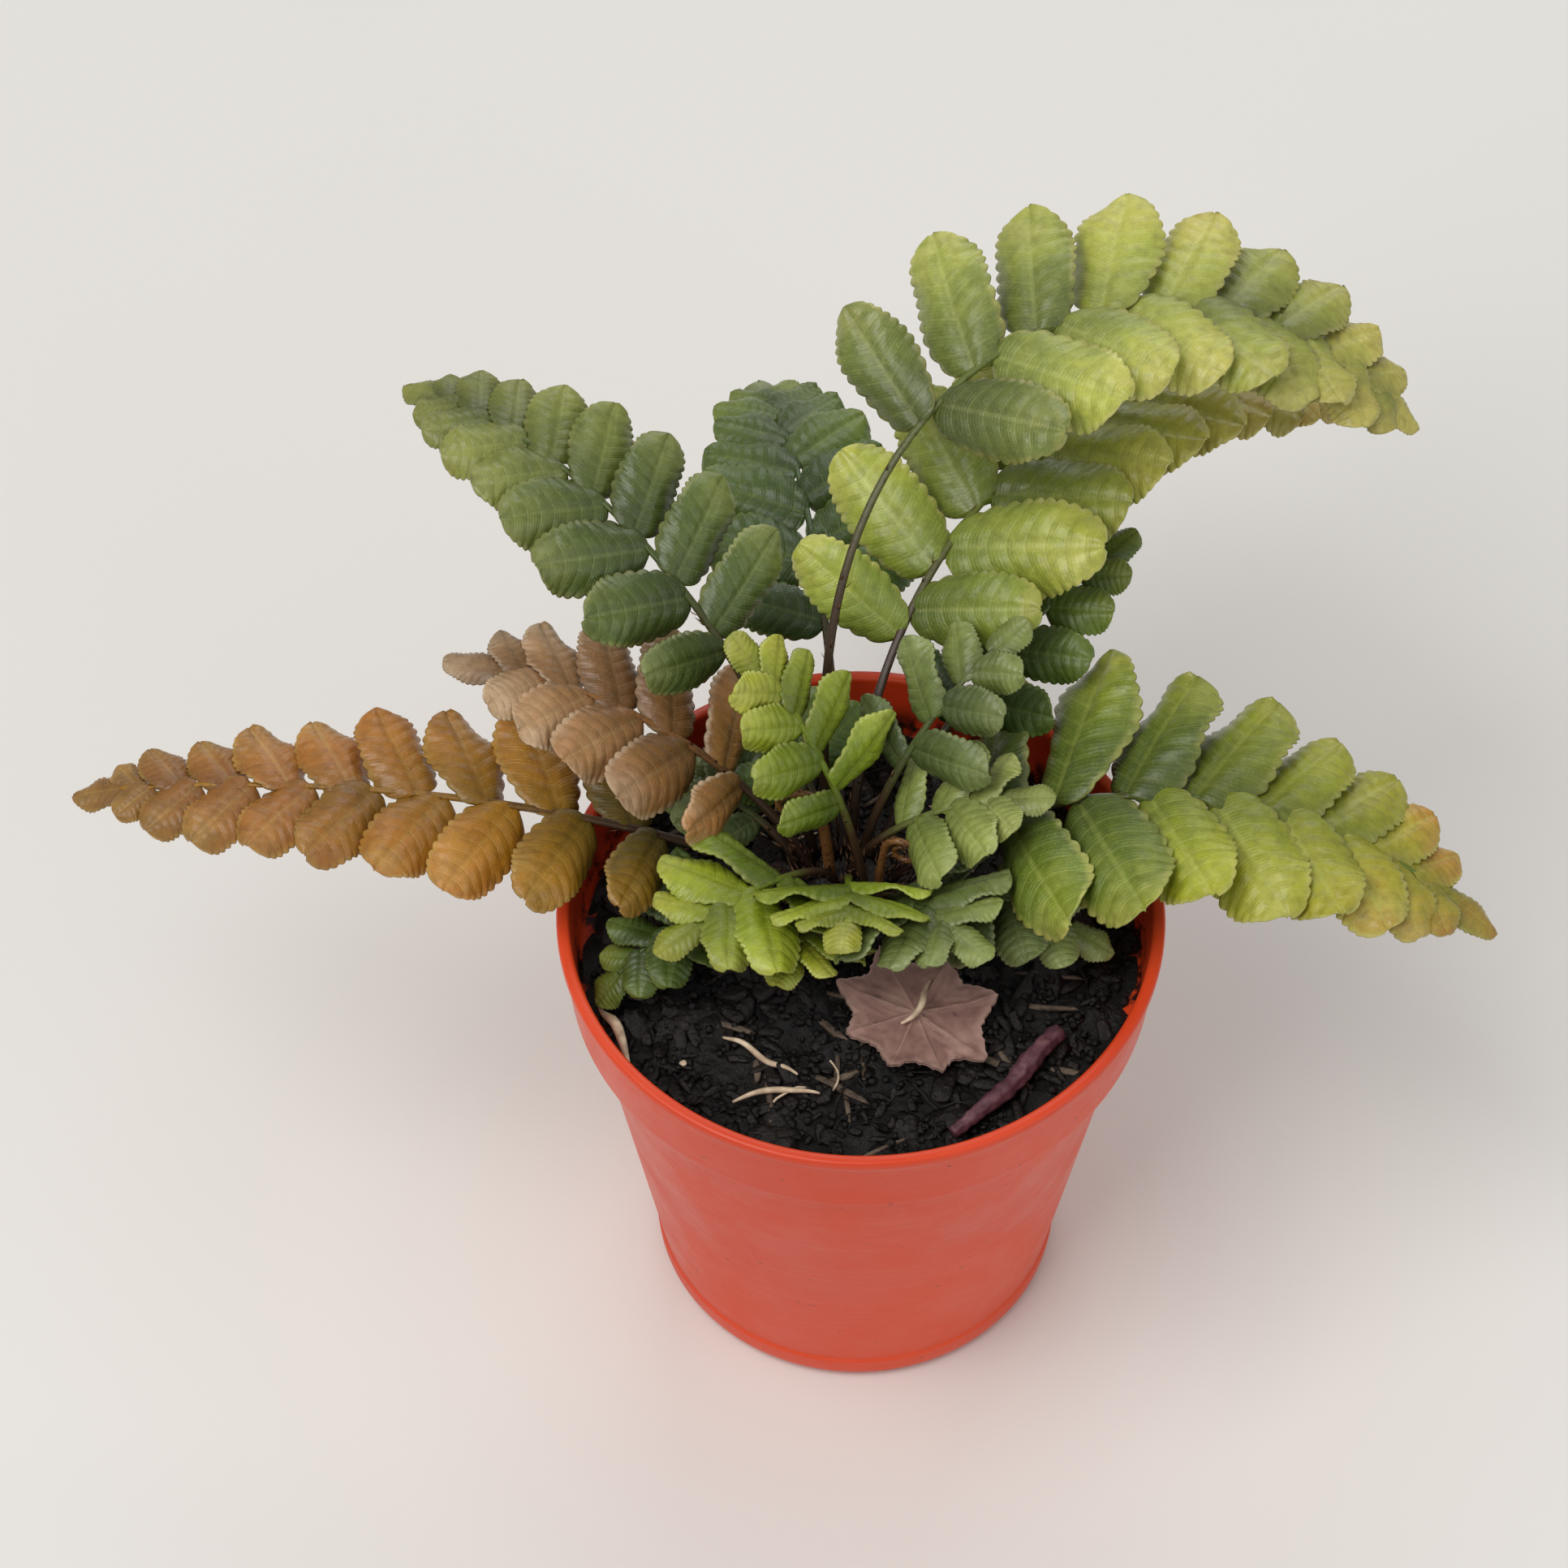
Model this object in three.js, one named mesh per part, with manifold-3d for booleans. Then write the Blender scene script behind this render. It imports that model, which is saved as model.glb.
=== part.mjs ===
// A young fern in a 55 mm nursery pot: plastic pot, potting mix, rhizome, fronds, croziers and the litter on the mix.
// Millimetres, +Z up. The origin is the centre of the pot's base, on the face that it stands on; -Y is the front.
import * as THREE from "three";
import { mergeVertices } from "three/addons/utils/BufferGeometryUtils.js";
import Module from "manifold-3d";

const wasm = await Module();
wasm.setup();

// ---- Driving dimensions ----
const POT = {
  height: 50,
  rimRadius: 27.5,
  rimBand: 8.5, // height of the wider band below the lip
  rimStep: 1.5, // how far the band stands out from the wall
  baseRadius: 19,
  wall: 0.9,
  floor: 1.2,
  lip: 0.35, // radius of the rounding along the lip
  sides: 40,
};
const DRAIN = { count: 4, radius: 2.6, ring: 11.5 };
const GAP = 0.3; // air left between pieces that touch
const MIX_BELOW_RIM = 7;
const CROWN = { x: -1, y: 5, radiusX: 6.5, radiusY: 5.2, radiusZ: 4.2, lift: 0.6 };
const LEAF_THICKNESS = 0.5;
const RACHIS = { baseRadius: 0.6, tipRadius: 0.34, sides: 5, rings: 8, end: 0.97 };
const PATH_STEPS = 40;
const COIL_STEPS = 16;
// Outline of a pinna: [share of its length, half width as a share of the greatest], from the rachis outwards.
const PINNA_OUTLINE = [
  [0, 0.3],
  [0.38, 1],
  [0.8, 0.72],
];

const mixTop = POT.height - MIX_BELOW_RIM;
const shoulder = POT.height - POT.rimBand; // where the rim band begins

// ---- Colours ----
const finish = (color, roughness) => new THREE.MeshStandardMaterial({ color, roughness, metalness: 0 });
const MATERIALS = {
  pot: finish(0xc8503c, 0.42),
  mix: finish(0x17110d, 0.85),
  rhizome: finish(0x3a2517, 0.8),
  green: finish(0x4b5f28, 0.4),
  sage: finish(0x5c6b3c, 0.4),
  olive: finish(0x87943c, 0.42),
  gold: finish(0x9a9b46, 0.42),
  bronze: finish(0x8e692a, 0.42),
  rose: finish(0x8c764b, 0.45),
  lime: finish(0x768430, 0.4),
  crozier: finish(0x9a7a55, 0.6),
  litter: finish(0x7d625c, 0.8),
  purple: finish(0x533a41, 0.6),
  fibre: finish(0xd8d2c4, 0.8),
};

// ---- Fronds ----
// heading and sweep: degrees in plan, 0 to the right (+X), 90 to the back (+Y); sweep is the turn from base to tip.
// rise and fall: slope in degrees at the base and at the tip. bend: below 1 arches early, above 1 arches late.
// foot: distance of the base from the crown's centre. bare: share of the length with no pinnae.
// fold: how far the pinnae lift out of the blade, in degrees, at its foot.
// pinna: length of the longest pinna.
const FRONDS = [
  { name: "frond_back_right_gold", material: "gold", heading: 78, sweep: -68, foot: 3.2, length: 78,
    rise: 84, fall: -34, bend: 0.62, bare: 0.27, fold: 24, pairs: 10, pinna: 15 },
  { name: "frond_back_right_tall", material: "olive", heading: 106, sweep: -136, foot: 5.2, length: 96,
    rise: 88, fall: -44, bend: 0.95, bare: 0.46, fold: 20, pairs: 9, pinna: 15 },
  { name: "frond_right_olive", material: "olive", heading: 4, sweep: -26, foot: 4.8, length: 56,
    rise: 54, fall: -36, bend: 0.8, bare: 0.18, fold: 12, pairs: 8, pinna: 16.5 },
  { name: "frond_left_bronze", material: "bronze", heading: 174, sweep: -4, foot: 5.0, length: 65,
    rise: 32, fall: -16, bend: 0.8, bare: 0.2, fold: 10, pairs: 9, pinna: 12.5 },
  { name: "frond_back_left_rose", material: "rose", heading: 150, sweep: 16, foot: 4.0, length: 36,
    rise: 62, fall: 2, bend: 0.8, bare: 0.28, fold: 14, pairs: 5, pinna: 12 },
  { name: "frond_centre_lime", material: "lime", heading: 122, sweep: 20, foot: -3.0, length: 27,
    rise: 82, fall: 40, bend: 0.8, bare: 0.4, fold: 12, pairs: 4, pinna: 9 },
  { name: "frond_back_right_dark", material: "green", heading: 46, sweep: -8, foot: 4.6, length: 36,
    rise: 56, fall: 6, bend: 1.0, bare: 0.4, fold: 12, pairs: 4, pinna: 10 },
  { name: "frond_centre_left", material: "lime", heading: 219, sweep: -7, foot: 1.5, length: 18.4,
    rise: 80, fall: -9, bend: 0.55, bare: 0.4, fold: 8, pairs: 3, pinna: 10.8 },
  { name: "frond_front_centre", material: "lime", heading: 270, sweep: -9, foot: 1.7, length: 15,
    rise: 89, fall: 15, bend: 0.55, bare: 0.5, fold: 8, pairs: 3, pinna: 9.5 },
  { name: "frond_front_low", material: "lime", heading: 246, sweep: -2, foot: 4.9, length: 11.5,
    rise: 73, fall: 8, bend: 0.8, bare: 0.4, fold: 8, pairs: 3, pinna: 8 },
  { name: "frond_front_left", material: "green", heading: 198, sweep: 16, foot: 5.4, length: 20,
    rise: 50, fall: -40, bend: 0.8, bare: 0.26, fold: 10, pairs: 4, pinna: 8 },
  { name: "frond_right_low", material: "sage", heading: -22, sweep: -2, foot: 4.8, length: 19,
    rise: 56, fall: -26, bend: 0.7, bare: 0.3, fold: 8, pairs: 3, pinna: 9.5 },
  { name: "frond_back_left_tall", material: "olive", heading: 128, sweep: 10, foot: 4.6, length: 62,
    rise: 76, fall: -20, bend: 1.0, bare: 0.36, fold: 16, pairs: 8, pinna: 12 },
  { name: "frond_centre_pale", material: "lime", heading: 3, sweep: -13, foot: 0.5, length: 19,
    rise: 83, fall: 16, bend: 0.5, bare: 0.4, fold: 8, pairs: 3, pinna: 9.5 },
  { name: "frond_centre_right", material: "sage", heading: 40, sweep: -10, foot: 1.8, length: 26,
    rise: 80, fall: 30, bend: 0.8, bare: 0.44, fold: 12, pairs: 3, pinna: 9 },
  { name: "frond_back_low", material: "green", heading: 90, sweep: 10, foot: 5.6, length: 58,
    rise: 42, fall: -36, bend: 1.0, bare: 0.36, fold: 12, pairs: 7, pinna: 12 },
  { name: "frond_centre_front", material: "sage", heading: 301, sweep: 8, foot: 4.1, length: 16,
    rise: 90, fall: 7, bend: 0.6, bare: 0.4, fold: 8, pairs: 3, pinna: 10.1 },
  { name: "frond_centre_back", material: "green", heading: 113, sweep: 1, foot: 3.2, length: 17,
    rise: 72, fall: -26, bend: 0.8, bare: 0.4, fold: 10, pairs: 3, pinna: 9.1 },
  { name: "frond_left_low", material: "sage", heading: 149, sweep: -5, foot: 5.2, length: 14,
    rise: 73, fall: -6, bend: 0.6, bare: 0.4, fold: 8, pairs: 3, pinna: 7.3 },
];

// ---- Croziers: fronds that are still coiled ----
const CROZIERS = [
  { name: "crozier_01", heading: 170, foot: 1.4, height: 9, coil: 2.1 },
  { name: "crozier_02", heading: 338, foot: 3.0, height: 5.5, coil: 1.7 },
];

// ---- Litter that lies on the mix ----
const DEAD_LEAF = { x: 4.5, y: -8, thickness: 0.5, notch: 0.76, rest: 1.5 };
// The points of the dead leaf's lobes: [angle in degrees, distance from the middle].
const DEAD_LOBES = [[6, 7.6], [58, 6.4], [113, 7.4], [156, 7.8], [198, 6.8], [248, 7.1], [285, 7.4], [316, 8.4]];
const DEAD_STALK = { from: [7, -20.5], to: [17.6, -10.6], radius: 0.95 };
const PALE_FIBRES = [
  { name: "pale_fibre_01", from: [-13, -9.5], to: [-6.5, -13.5], bow: 1.4 },
  { name: "pale_fibre_02", from: [-12.5, -15.5], to: [-4.5, -15], bow: -0.8 },
];

// ---- Small helpers ----
const radians = THREE.MathUtils.degToRad;
const { lerp, clamp } = THREE.MathUtils;

// A repeatable number from 0 to 1 for three whole numbers.
function chance(a, b, c) {
  const wave = Math.sin(a * 12.9898 + b * 78.233 + c * 37.719) * 43758.5453;
  return wave - Math.floor(wave);
}

// A closed manifold-3d solid from a three.js geometry.
function solidOf(geometry) {
  const bare = geometry.clone();
  bare.deleteAttribute("normal");
  bare.deleteAttribute("uv");
  const merged = mergeVertices(bare, 1e-4);
  const solid = new wasm.Manifold(
    new wasm.Mesh({
      numProp: 3,
      vertProperties: new Float32Array(merged.attributes.position.array),
      triVerts: new Uint32Array(merged.index.array),
    }),
  );
  return solid;
}

// A three.js geometry from a manifold-3d solid.
function geometryOf(solid) {
  const mesh = solid.getMesh();
  const geometry = new THREE.BufferGeometry();
  const stride = mesh.numProp;
  const places = new Float32Array(mesh.numVert * 3);
  for (let i = 0; i < mesh.numVert; i++) {
    places.set(mesh.vertProperties.subarray(i * stride, i * stride + 3), i * 3);
  }
  geometry.setAttribute("position", new THREE.BufferAttribute(places, 3));
  geometry.setIndex(new THREE.BufferAttribute(mesh.triVerts, 1));
  geometry.computeVertexNormals();
  return geometry;
}

// Moves every vertex of a geometry by a function from a point to a point.
function reshape(geometry, move) {
  const places = geometry.attributes.position;
  const point = new THREE.Vector3();
  for (let i = 0; i < places.count; i++) {
    move(point.fromBufferAttribute(places, i));
    places.setXYZ(i, point.x, point.y, point.z);
  }
  return geometry;
}

// A lathe about +Z from [radius, height] points that run anticlockwise.
function latheZ(points, sides) {
  const profile = points.map(([r, z]) => new THREE.Vector2(r, z));
  return new THREE.LatheGeometry(profile, sides).rotateX(Math.PI / 2);
}

// A round rod along a smooth line through the points.
function tubeGeometry(points, radius, steps) {
  const outline = new THREE.Shape();
  for (let i = 0; i < 6; i++) {
    const angle = (i / 6) * 2 * Math.PI;
    const place = [radius * Math.cos(angle), radius * Math.sin(angle)];
    if (i) outline.lineTo(...place);
    else outline.moveTo(...place);
  }
  const extrudePath = new THREE.CatmullRomCurve3(points, false, "centripetal");
  return new THREE.ExtrudeGeometry(outline, { steps, bevelEnabled: false, extrudePath });
}

// The one body that a union is, without the crumbs that rounding leaves.
function largestPart(solid) {
  return solid.decompose().reduce((best, part) => (part.volume() > best.volume() ? part : best));
}

function addMesh(group, name, geometry, material) {
  const mesh = new THREE.Mesh(geometry, MATERIALS[material]);
  mesh.name = name;
  group.add(mesh);
  return mesh;
}

// ---- Pot ----
// Inner radius of the pot at a height.
function innerRadius(z) {
  const bodyTop = POT.rimRadius - POT.rimStep - POT.wall;
  const share = clamp((z - POT.floor) / (shoulder - POT.floor), 0, 1);
  return z > shoulder + POT.wall ? POT.rimRadius - 1 - POT.wall : lerp(POT.baseRadius, bodyTop, share) - POT.wall;
}

function potGeometry() {
  const { height, rimRadius, rimStep, baseRadius, wall, floor, lip } = POT;
  const bodyTop = rimRadius - rimStep - wall;
  const bandFoot = rimRadius - 1;
  const profile = [
    [0, 0],
    [baseRadius - 1.2, 0],
    [baseRadius - 0.35, 0.35],
    [baseRadius, 1.2],
    [bodyTop, shoulder],
    [bandFoot, shoulder + 0.3],
    [rimRadius, height - lip * 2],
    [rimRadius - lip * 0.3, height - lip * 0.3],
    [rimRadius - lip, height],
    [rimRadius - wall - 0.1, height - lip * 0.3],
    [bandFoot - wall, shoulder + wall + 0.3],
    [bodyTop - wall, shoulder + wall],
    [baseRadius - wall, floor],
    [0, floor],
  ];
  const shell = solidOf(latheZ(profile, POT.sides));
  const drill = new THREE.CylinderGeometry(DRAIN.radius, DRAIN.radius, floor * 4, 16).rotateX(Math.PI / 2);
  let drained = shell;
  for (let i = 0; i < DRAIN.count; i++) {
    const angle = ((i + 0.5) / DRAIN.count) * 2 * Math.PI;
    const hole = drill.clone().translate(DRAIN.ring * Math.cos(angle), DRAIN.ring * Math.sin(angle), 0);
    drained = drained.subtract(solidOf(hole));
  }
  return geometryOf(drained);
}

// ---- Potting mix ----
// Height of the mix's surface: a low mound at the crown with soft lumps.
function mixHeight(x, y) {
  const reach = Math.hypot(x - CROWN.x, y - CROWN.y);
  const mound = 1.6 * Math.exp(-((reach / 11) ** 2));
  const lumps = 0.35 * Math.sin(x * 0.55 + 1.3) * Math.cos(y * 0.62) + 0.25 * Math.sin(x * 0.9 - y * 1.1);
  return mixTop + mound + lumps;
}

function mixSolid() {
  const foot = POT.floor + GAP;
  const edge = innerRadius(mixTop) - GAP;
  const rings = [0.82, 0.62, 0.42, 0.22].map((share) => [edge * share, mixTop]);
  const profile = [
    [0, foot],
    [innerRadius(foot) - GAP, foot],
    [innerRadius(shoulder) - GAP, shoulder + POT.wall + GAP + 0.1],
    [edge, shoulder + POT.wall + 0.9],
    [edge, mixTop - 0.4],
    ...rings,
    [0, mixTop],
  ];
  const geometry = reshape(latheZ(profile, 32), (p) => {
    if (p.z > mixTop - 0.5) p.z += mixHeight(p.x, p.y) - mixTop;
  });
  return solidOf(geometry);
}

// ---- Rhizome ----
// The crown, made larger on all sides by a margin.
function crownSolid(margin) {
  const { x, y, radiusX, radiusY, radiusZ } = CROWN;
  const ball = new THREE.SphereGeometry(1, 14, 9);
  const geometry = reshape(ball, (p) => {
    const knobs = 1 + 0.07 * Math.sin(5 * Math.atan2(p.y, p.x)) * (1 - p.z * p.z);
    const z = mixTop + CROWN.lift + p.z * (radiusZ + margin);
    p.set(x + p.x * (radiusX * knobs + margin), y + p.y * (radiusY * knobs + margin), z);
  });
  return solidOf(geometry);
}

// Where a stalk stands: just clear of the crown, at a distance from its centre.
function crownPoint(heading, foot) {
  const dx = foot * Math.cos(radians(heading));
  const dy = foot * Math.sin(radians(heading));
  const share = Math.min(0.96, (dx / CROWN.radiusX) ** 2 + (dy / CROWN.radiusY) ** 2);
  const top = mixTop + CROWN.lift + CROWN.radiusZ * Math.sqrt(1 - share);
  const ground = mixHeight(CROWN.x + dx, CROWN.y + dy);
  return new THREE.Vector3(CROWN.x + dx, CROWN.y + dy, Math.max(top, ground) + 1);
}

// ---- Frond ----
// The line of a frond's rachis, as a function from a share of its length to a place and three directions.
function frondPath(frond) {
  const slopeAt = (share) => radians(lerp(frond.rise, frond.fall, share ** frond.bend));
  const turnAt = (share) => radians(frond.heading + frond.sweep * share);
  const tangentAt = (share) => {
    const slope = slopeAt(share);
    const turn = turnAt(share);
    return new THREE.Vector3(Math.cos(slope) * Math.cos(turn), Math.cos(slope) * Math.sin(turn), Math.sin(slope));
  };
  const places = [crownPoint(frond.heading, frond.foot)];
  for (let i = 0; i < PATH_STEPS; i++) {
    const stride = tangentAt((i + 0.5) / PATH_STEPS).multiplyScalar(frond.length / PATH_STEPS);
    places.push(places[i].clone().add(stride));
  }
  return (share) => {
    const at = clamp(share, 0, 1) * PATH_STEPS;
    const low = Math.min(Math.floor(at), PATH_STEPS - 1);
    const place = places[low].clone().lerp(places[low + 1], at - low);
    const tangent = tangentAt(share);
    const side = new THREE.Vector3(-Math.sin(turnAt(share)), Math.cos(turnAt(share)), 0);
    const normal = tangent.clone().cross(side);
    return { place, tangent, side, normal };
  };
}

function rachisSolid(path) {
  const { baseRadius, tipRadius, sides, rings, end } = RACHIS;
  const rod = new THREE.CylinderGeometry(tipRadius, baseRadius, 1, sides, rings);
  const geometry = reshape(rod, (p) => {
    const { place, side, normal } = path((p.y + 0.5) * end);
    const { x, z } = p;
    p.copy(place).addScaledVector(side, x).addScaledVector(normal, -z);
  });
  return solidOf(geometry);
}

// One pinna: a thin leaf-shaped plate that leaves the rachis at an angle, lifts, and droops to its tip.
function pinnaSolid(path, pinna) {
  const { length, width, hand } = pinna;
  const rim = PINNA_OUTLINE.map(([u, w]) => new THREE.Vector2(u * length, (w * width) / 2));
  const mirrored = rim.map((p) => new THREE.Vector2(p.x, -p.y)).reverse();
  const outline = new THREE.Shape([new THREE.Vector2(length, 0), ...rim.reverse(), ...mirrored.reverse()]);
  const plate = new THREE.ExtrudeGeometry(outline, { depth: LEAF_THICKNESS, bevelEnabled: false });

  const { place, tangent, side, normal } = path(pinna.at);
  const away = side.clone().multiplyScalar(hand);
  const along = tangent.clone().multiplyScalar(Math.cos(pinna.spread)).addScaledVector(away, Math.sin(pinna.spread));
  const across = normal.clone().cross(along);
  along.applyAxisAngle(across, -pinna.lift);
  const face = along.clone().cross(across);
  const geometry = reshape(plate, (p) => {
    const sink = pinna.droop * length * (p.x / length) ** 2;
    const { x, y, z } = p;
    p.copy(place).addScaledVector(along, x).addScaledVector(across, y);
    p.addScaledVector(face, z - LEAF_THICKNESS / 2 - sink);
  });
  return solidOf(geometry);
}

// The pinnae of a frond: pairs that shorten to the tip, the right one a little ahead of the left, and one at the end.
function pinnaeOf(frond, index) {
  const pinnae = [];
  const blade = 1 - frond.bare;
  const shareAt = (i) => frond.bare + blade * (1 - (1 - i / (frond.pairs + 0.6)) ** 1.3);
  for (let i = 0; i < frond.pairs; i++) {
    for (const hand of [1, -1]) {
      const step = i + (hand > 0 ? 0 : 0.35);
      const at = shareAt(step);
      const t = (at - frond.bare) / blade;
      const pitch = (shareAt(step + 1) - at) * frond.length;
      const spread = radians(lerp(72, 46, t));
      const grown = Math.min(1, 0.8 + 1.4 * t) * (1 - t) ** 0.45;
      const length = Math.max(3, frond.pinna * grown * (0.94 + 0.12 * chance(index, i, hand + 2)));
      const width = Math.min(0.95 * pitch * Math.sin(spread), length * lerp(0.5, 0.66, t));
      const lift = radians(lerp(frond.fold, 4, t) + 8 * (chance(index, i, hand + 7) - 0.5));
      pinnae.push({ at, hand, spread, length, width, lift, droop: 0.1 });
    }
  }
  pinnae.push({ at: 0.96, hand: 1, spread: 0, length: frond.pinna * 0.45, width: 2.8, lift: 0, droop: 0.1 });
  return pinnae;
}

function frondGeometry(frond, index) {
  const path = frondPath(frond);
  const pinnae = pinnaeOf(frond, index).map((pinna) => pinnaSolid(path, pinna));
  const joined = pinnae.reduce((whole, pinna) => whole.add(pinna), rachisSolid(path));
  return geometryOf(largestPart(joined.simplify(0.05)));
}

// ---- Crozier ----
function crozierGeometry({ heading, foot, height, coil }) {
  const start = crownPoint(heading, foot);
  const out = new THREE.Vector3(Math.cos(radians(heading)), Math.sin(radians(heading)), 0);
  const top = start.clone().addScaledVector(out, height * 0.12);
  top.z += height;
  const points = [start, start.clone().lerp(top, 0.35), start.clone().lerp(top, 0.7)];
  for (let i = 0; i <= COIL_STEPS; i++) {
    const turn = (i / COIL_STEPS) * 2.5 * Math.PI;
    const radius = coil * (1 - 0.62 * (i / COIL_STEPS));
    const point = top.clone().addScaledVector(out, coil - radius * Math.cos(turn));
    point.z += radius * Math.sin(turn);
    points.push(point);
  }
  return tubeGeometry(points, coil * 0.2, 32);
}

// ---- Litter ----
function deadLeafGeometry() {
  const { x, y, thickness, notch } = DEAD_LEAF;
  const rim = [];
  DEAD_LOBES.forEach(([angle, reach], i) => {
    const [next, nextReach] = DEAD_LOBES[(i + 1) % DEAD_LOBES.length];
    const between = angle + ((next - angle + 360) % 360) / 2;
    const inner = (notch * (reach + nextReach)) / 2;
    rim.push(new THREE.Vector2(reach * Math.cos(radians(angle)), reach * Math.sin(radians(angle))));
    rim.push(new THREE.Vector2(inner * Math.cos(radians(between)), inner * Math.sin(radians(between))));
  });
  const plate = new THREE.ExtrudeGeometry(new THREE.Shape(rim), { depth: thickness, bevelEnabled: false });
  return reshape(plate, (p) => {
    p.x += x;
    p.y += y;
    p.z += mixTop + DEAD_LEAF.rest;
  });
}

// A thin stalk or fibre that lies between two places on the mix and bows in its middle.
function lyingGeometry(from, to, radius, bow, clearance) {
  const points = [0, 0.33, 0.67, 1].map((share) => {
    const x = lerp(from[0], to[0], share);
    const y = lerp(from[1], to[1], share) + bow * 4 * share * (1 - share);
    return new THREE.Vector3(x, y, mixHeight(x, y) + radius + clearance);
  });
  return tubeGeometry(points, radius, 12);
}

// ---- Assembly ----
const fern = new THREE.Group();
fern.name = "potted_fern";
addMesh(fern, "pot", potGeometry(), "pot");
addMesh(fern, "potting_mix", geometryOf(mixSolid().subtract(crownSolid(GAP + 0.1))), "mix");
addMesh(fern, "dead_leaf", deadLeafGeometry(), "litter");
addMesh(fern, "dead_stalk", lyingGeometry(DEAD_STALK.from, DEAD_STALK.to, DEAD_STALK.radius, 0, 0.5), "purple");
for (const fibre of PALE_FIBRES) {
  addMesh(fern, fibre.name, lyingGeometry(fibre.from, fibre.to, 0.35, fibre.bow, 0.5), "fibre");
}

const plant = new THREE.Group();
plant.name = "fern_plant";
addMesh(plant, "rhizome_crown", geometryOf(crownSolid(0)), "rhizome");
FRONDS.forEach((frond, index) => addMesh(plant, frond.name, frondGeometry(frond, index), frond.material));
for (const crozier of CROZIERS) addMesh(plant, crozier.name, crozierGeometry(crozier), "crozier");
fern.add(plant);

export default fern;
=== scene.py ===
"""Looks of the potted fern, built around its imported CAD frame.

Lengths are written in millimetres and turned into metres. Angles in tables are degrees.
"""
import math

import bmesh
import bpy
import numpy as np
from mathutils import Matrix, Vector, noise


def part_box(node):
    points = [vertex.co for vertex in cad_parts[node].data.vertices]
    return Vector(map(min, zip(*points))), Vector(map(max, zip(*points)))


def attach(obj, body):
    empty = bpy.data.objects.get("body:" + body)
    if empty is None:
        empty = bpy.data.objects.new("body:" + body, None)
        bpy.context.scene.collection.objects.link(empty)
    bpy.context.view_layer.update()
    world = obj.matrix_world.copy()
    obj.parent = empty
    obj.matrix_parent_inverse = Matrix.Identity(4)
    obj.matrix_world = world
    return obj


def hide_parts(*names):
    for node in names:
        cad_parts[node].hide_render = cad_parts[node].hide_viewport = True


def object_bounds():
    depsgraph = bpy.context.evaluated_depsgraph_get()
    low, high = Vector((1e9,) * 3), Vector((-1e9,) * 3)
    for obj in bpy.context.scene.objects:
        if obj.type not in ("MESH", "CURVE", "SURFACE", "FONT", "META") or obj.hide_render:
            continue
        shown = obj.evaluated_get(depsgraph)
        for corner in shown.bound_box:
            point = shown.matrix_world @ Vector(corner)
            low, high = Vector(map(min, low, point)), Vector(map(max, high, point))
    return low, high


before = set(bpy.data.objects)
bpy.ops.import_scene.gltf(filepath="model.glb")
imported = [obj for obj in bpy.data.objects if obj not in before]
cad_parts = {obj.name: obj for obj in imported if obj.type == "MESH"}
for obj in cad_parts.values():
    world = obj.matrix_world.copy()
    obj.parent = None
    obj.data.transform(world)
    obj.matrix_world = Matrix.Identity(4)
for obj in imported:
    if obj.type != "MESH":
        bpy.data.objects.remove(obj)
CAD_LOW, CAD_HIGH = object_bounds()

MM = 0.001
TURN = 2 * math.pi
rng = np.random.default_rng(20)
noise.seed_set(20)


# ---- Camera: looks down at the pot's rim from the front ----
CAMERA_AZIMUTH = math.radians(-3)
CAMERA_ELEVATION = math.radians(53)
CAMERA_DISTANCE = 0.52
CAMERA_CLIP = (0.01, 20)
FRAME_MARGIN = 1.1
SENSOR = 36.0
AIM_ROUNDS = 4


def cad_points():
    """Every vertex of the CAD nodes, as one array in metres."""
    return np.array([v.co[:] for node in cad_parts.values() for v in node.data.vertices])


def put(name, data, place, direction):
    """Puts a camera or lamp at a place, so that it looks along a direction."""
    obj = bpy.data.objects.new(name, data)
    obj.location = place
    obj.rotation_mode = "QUATERNION"
    obj.rotation_quaternion = direction.to_track_quat("-Z", "Y")
    bpy.context.collection.objects.link(obj)
    return obj


def make_camera():
    """A camera whose lens and aim just hold the whole object."""
    az, el = CAMERA_AZIMUTH, CAMERA_ELEVATION
    back = np.array([math.sin(az) * math.cos(el), -math.cos(az) * math.cos(el), math.sin(el)])
    right = np.array([math.cos(az), math.sin(az), 0.0])
    up = np.cross(back, right)
    points = cad_points()
    target = (points.min(0) + points.max(0)) / 2
    for _ in range(AIM_ROUNDS):
        offset = points - target
        depth = CAMERA_DISTANCE - offset @ back
        across, along = offset @ right / depth, offset @ up / depth
        shift = right * (across.max() + across.min()) + up * (along.max() + along.min())
        target = target + CAMERA_DISTANCE * shift / 2
    half = max(across.max() - across.min(), along.max() - along.min()) / 2 * FRAME_MARGIN
    data = bpy.data.cameras.new("camera")
    data.sensor_width = SENSOR
    data.lens = SENSOR / 2 / half
    data.clip_start, data.clip_end = CAMERA_CLIP
    bpy.context.scene.camera = put("camera", data, target + back * CAMERA_DISTANCE, Vector(-back))


make_camera()


# ---- Material helpers ----
def linear(red, green, blue):
    """A colour written as 0 to 255 screen values, as a linear one."""
    parts = [c / 255 for c in (red, green, blue)]
    return tuple(c / 12.92 if c <= 0.04045 else ((c + 0.055) / 1.055) ** 2.4 for c in parts) + (1.0,)


def stops(*rows):
    """The stops of a colour ramp, from rows of a place from 0 to 1 and a red, green and blue."""
    return [(place, linear(*colour)) for place, *colour in rows]


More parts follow.
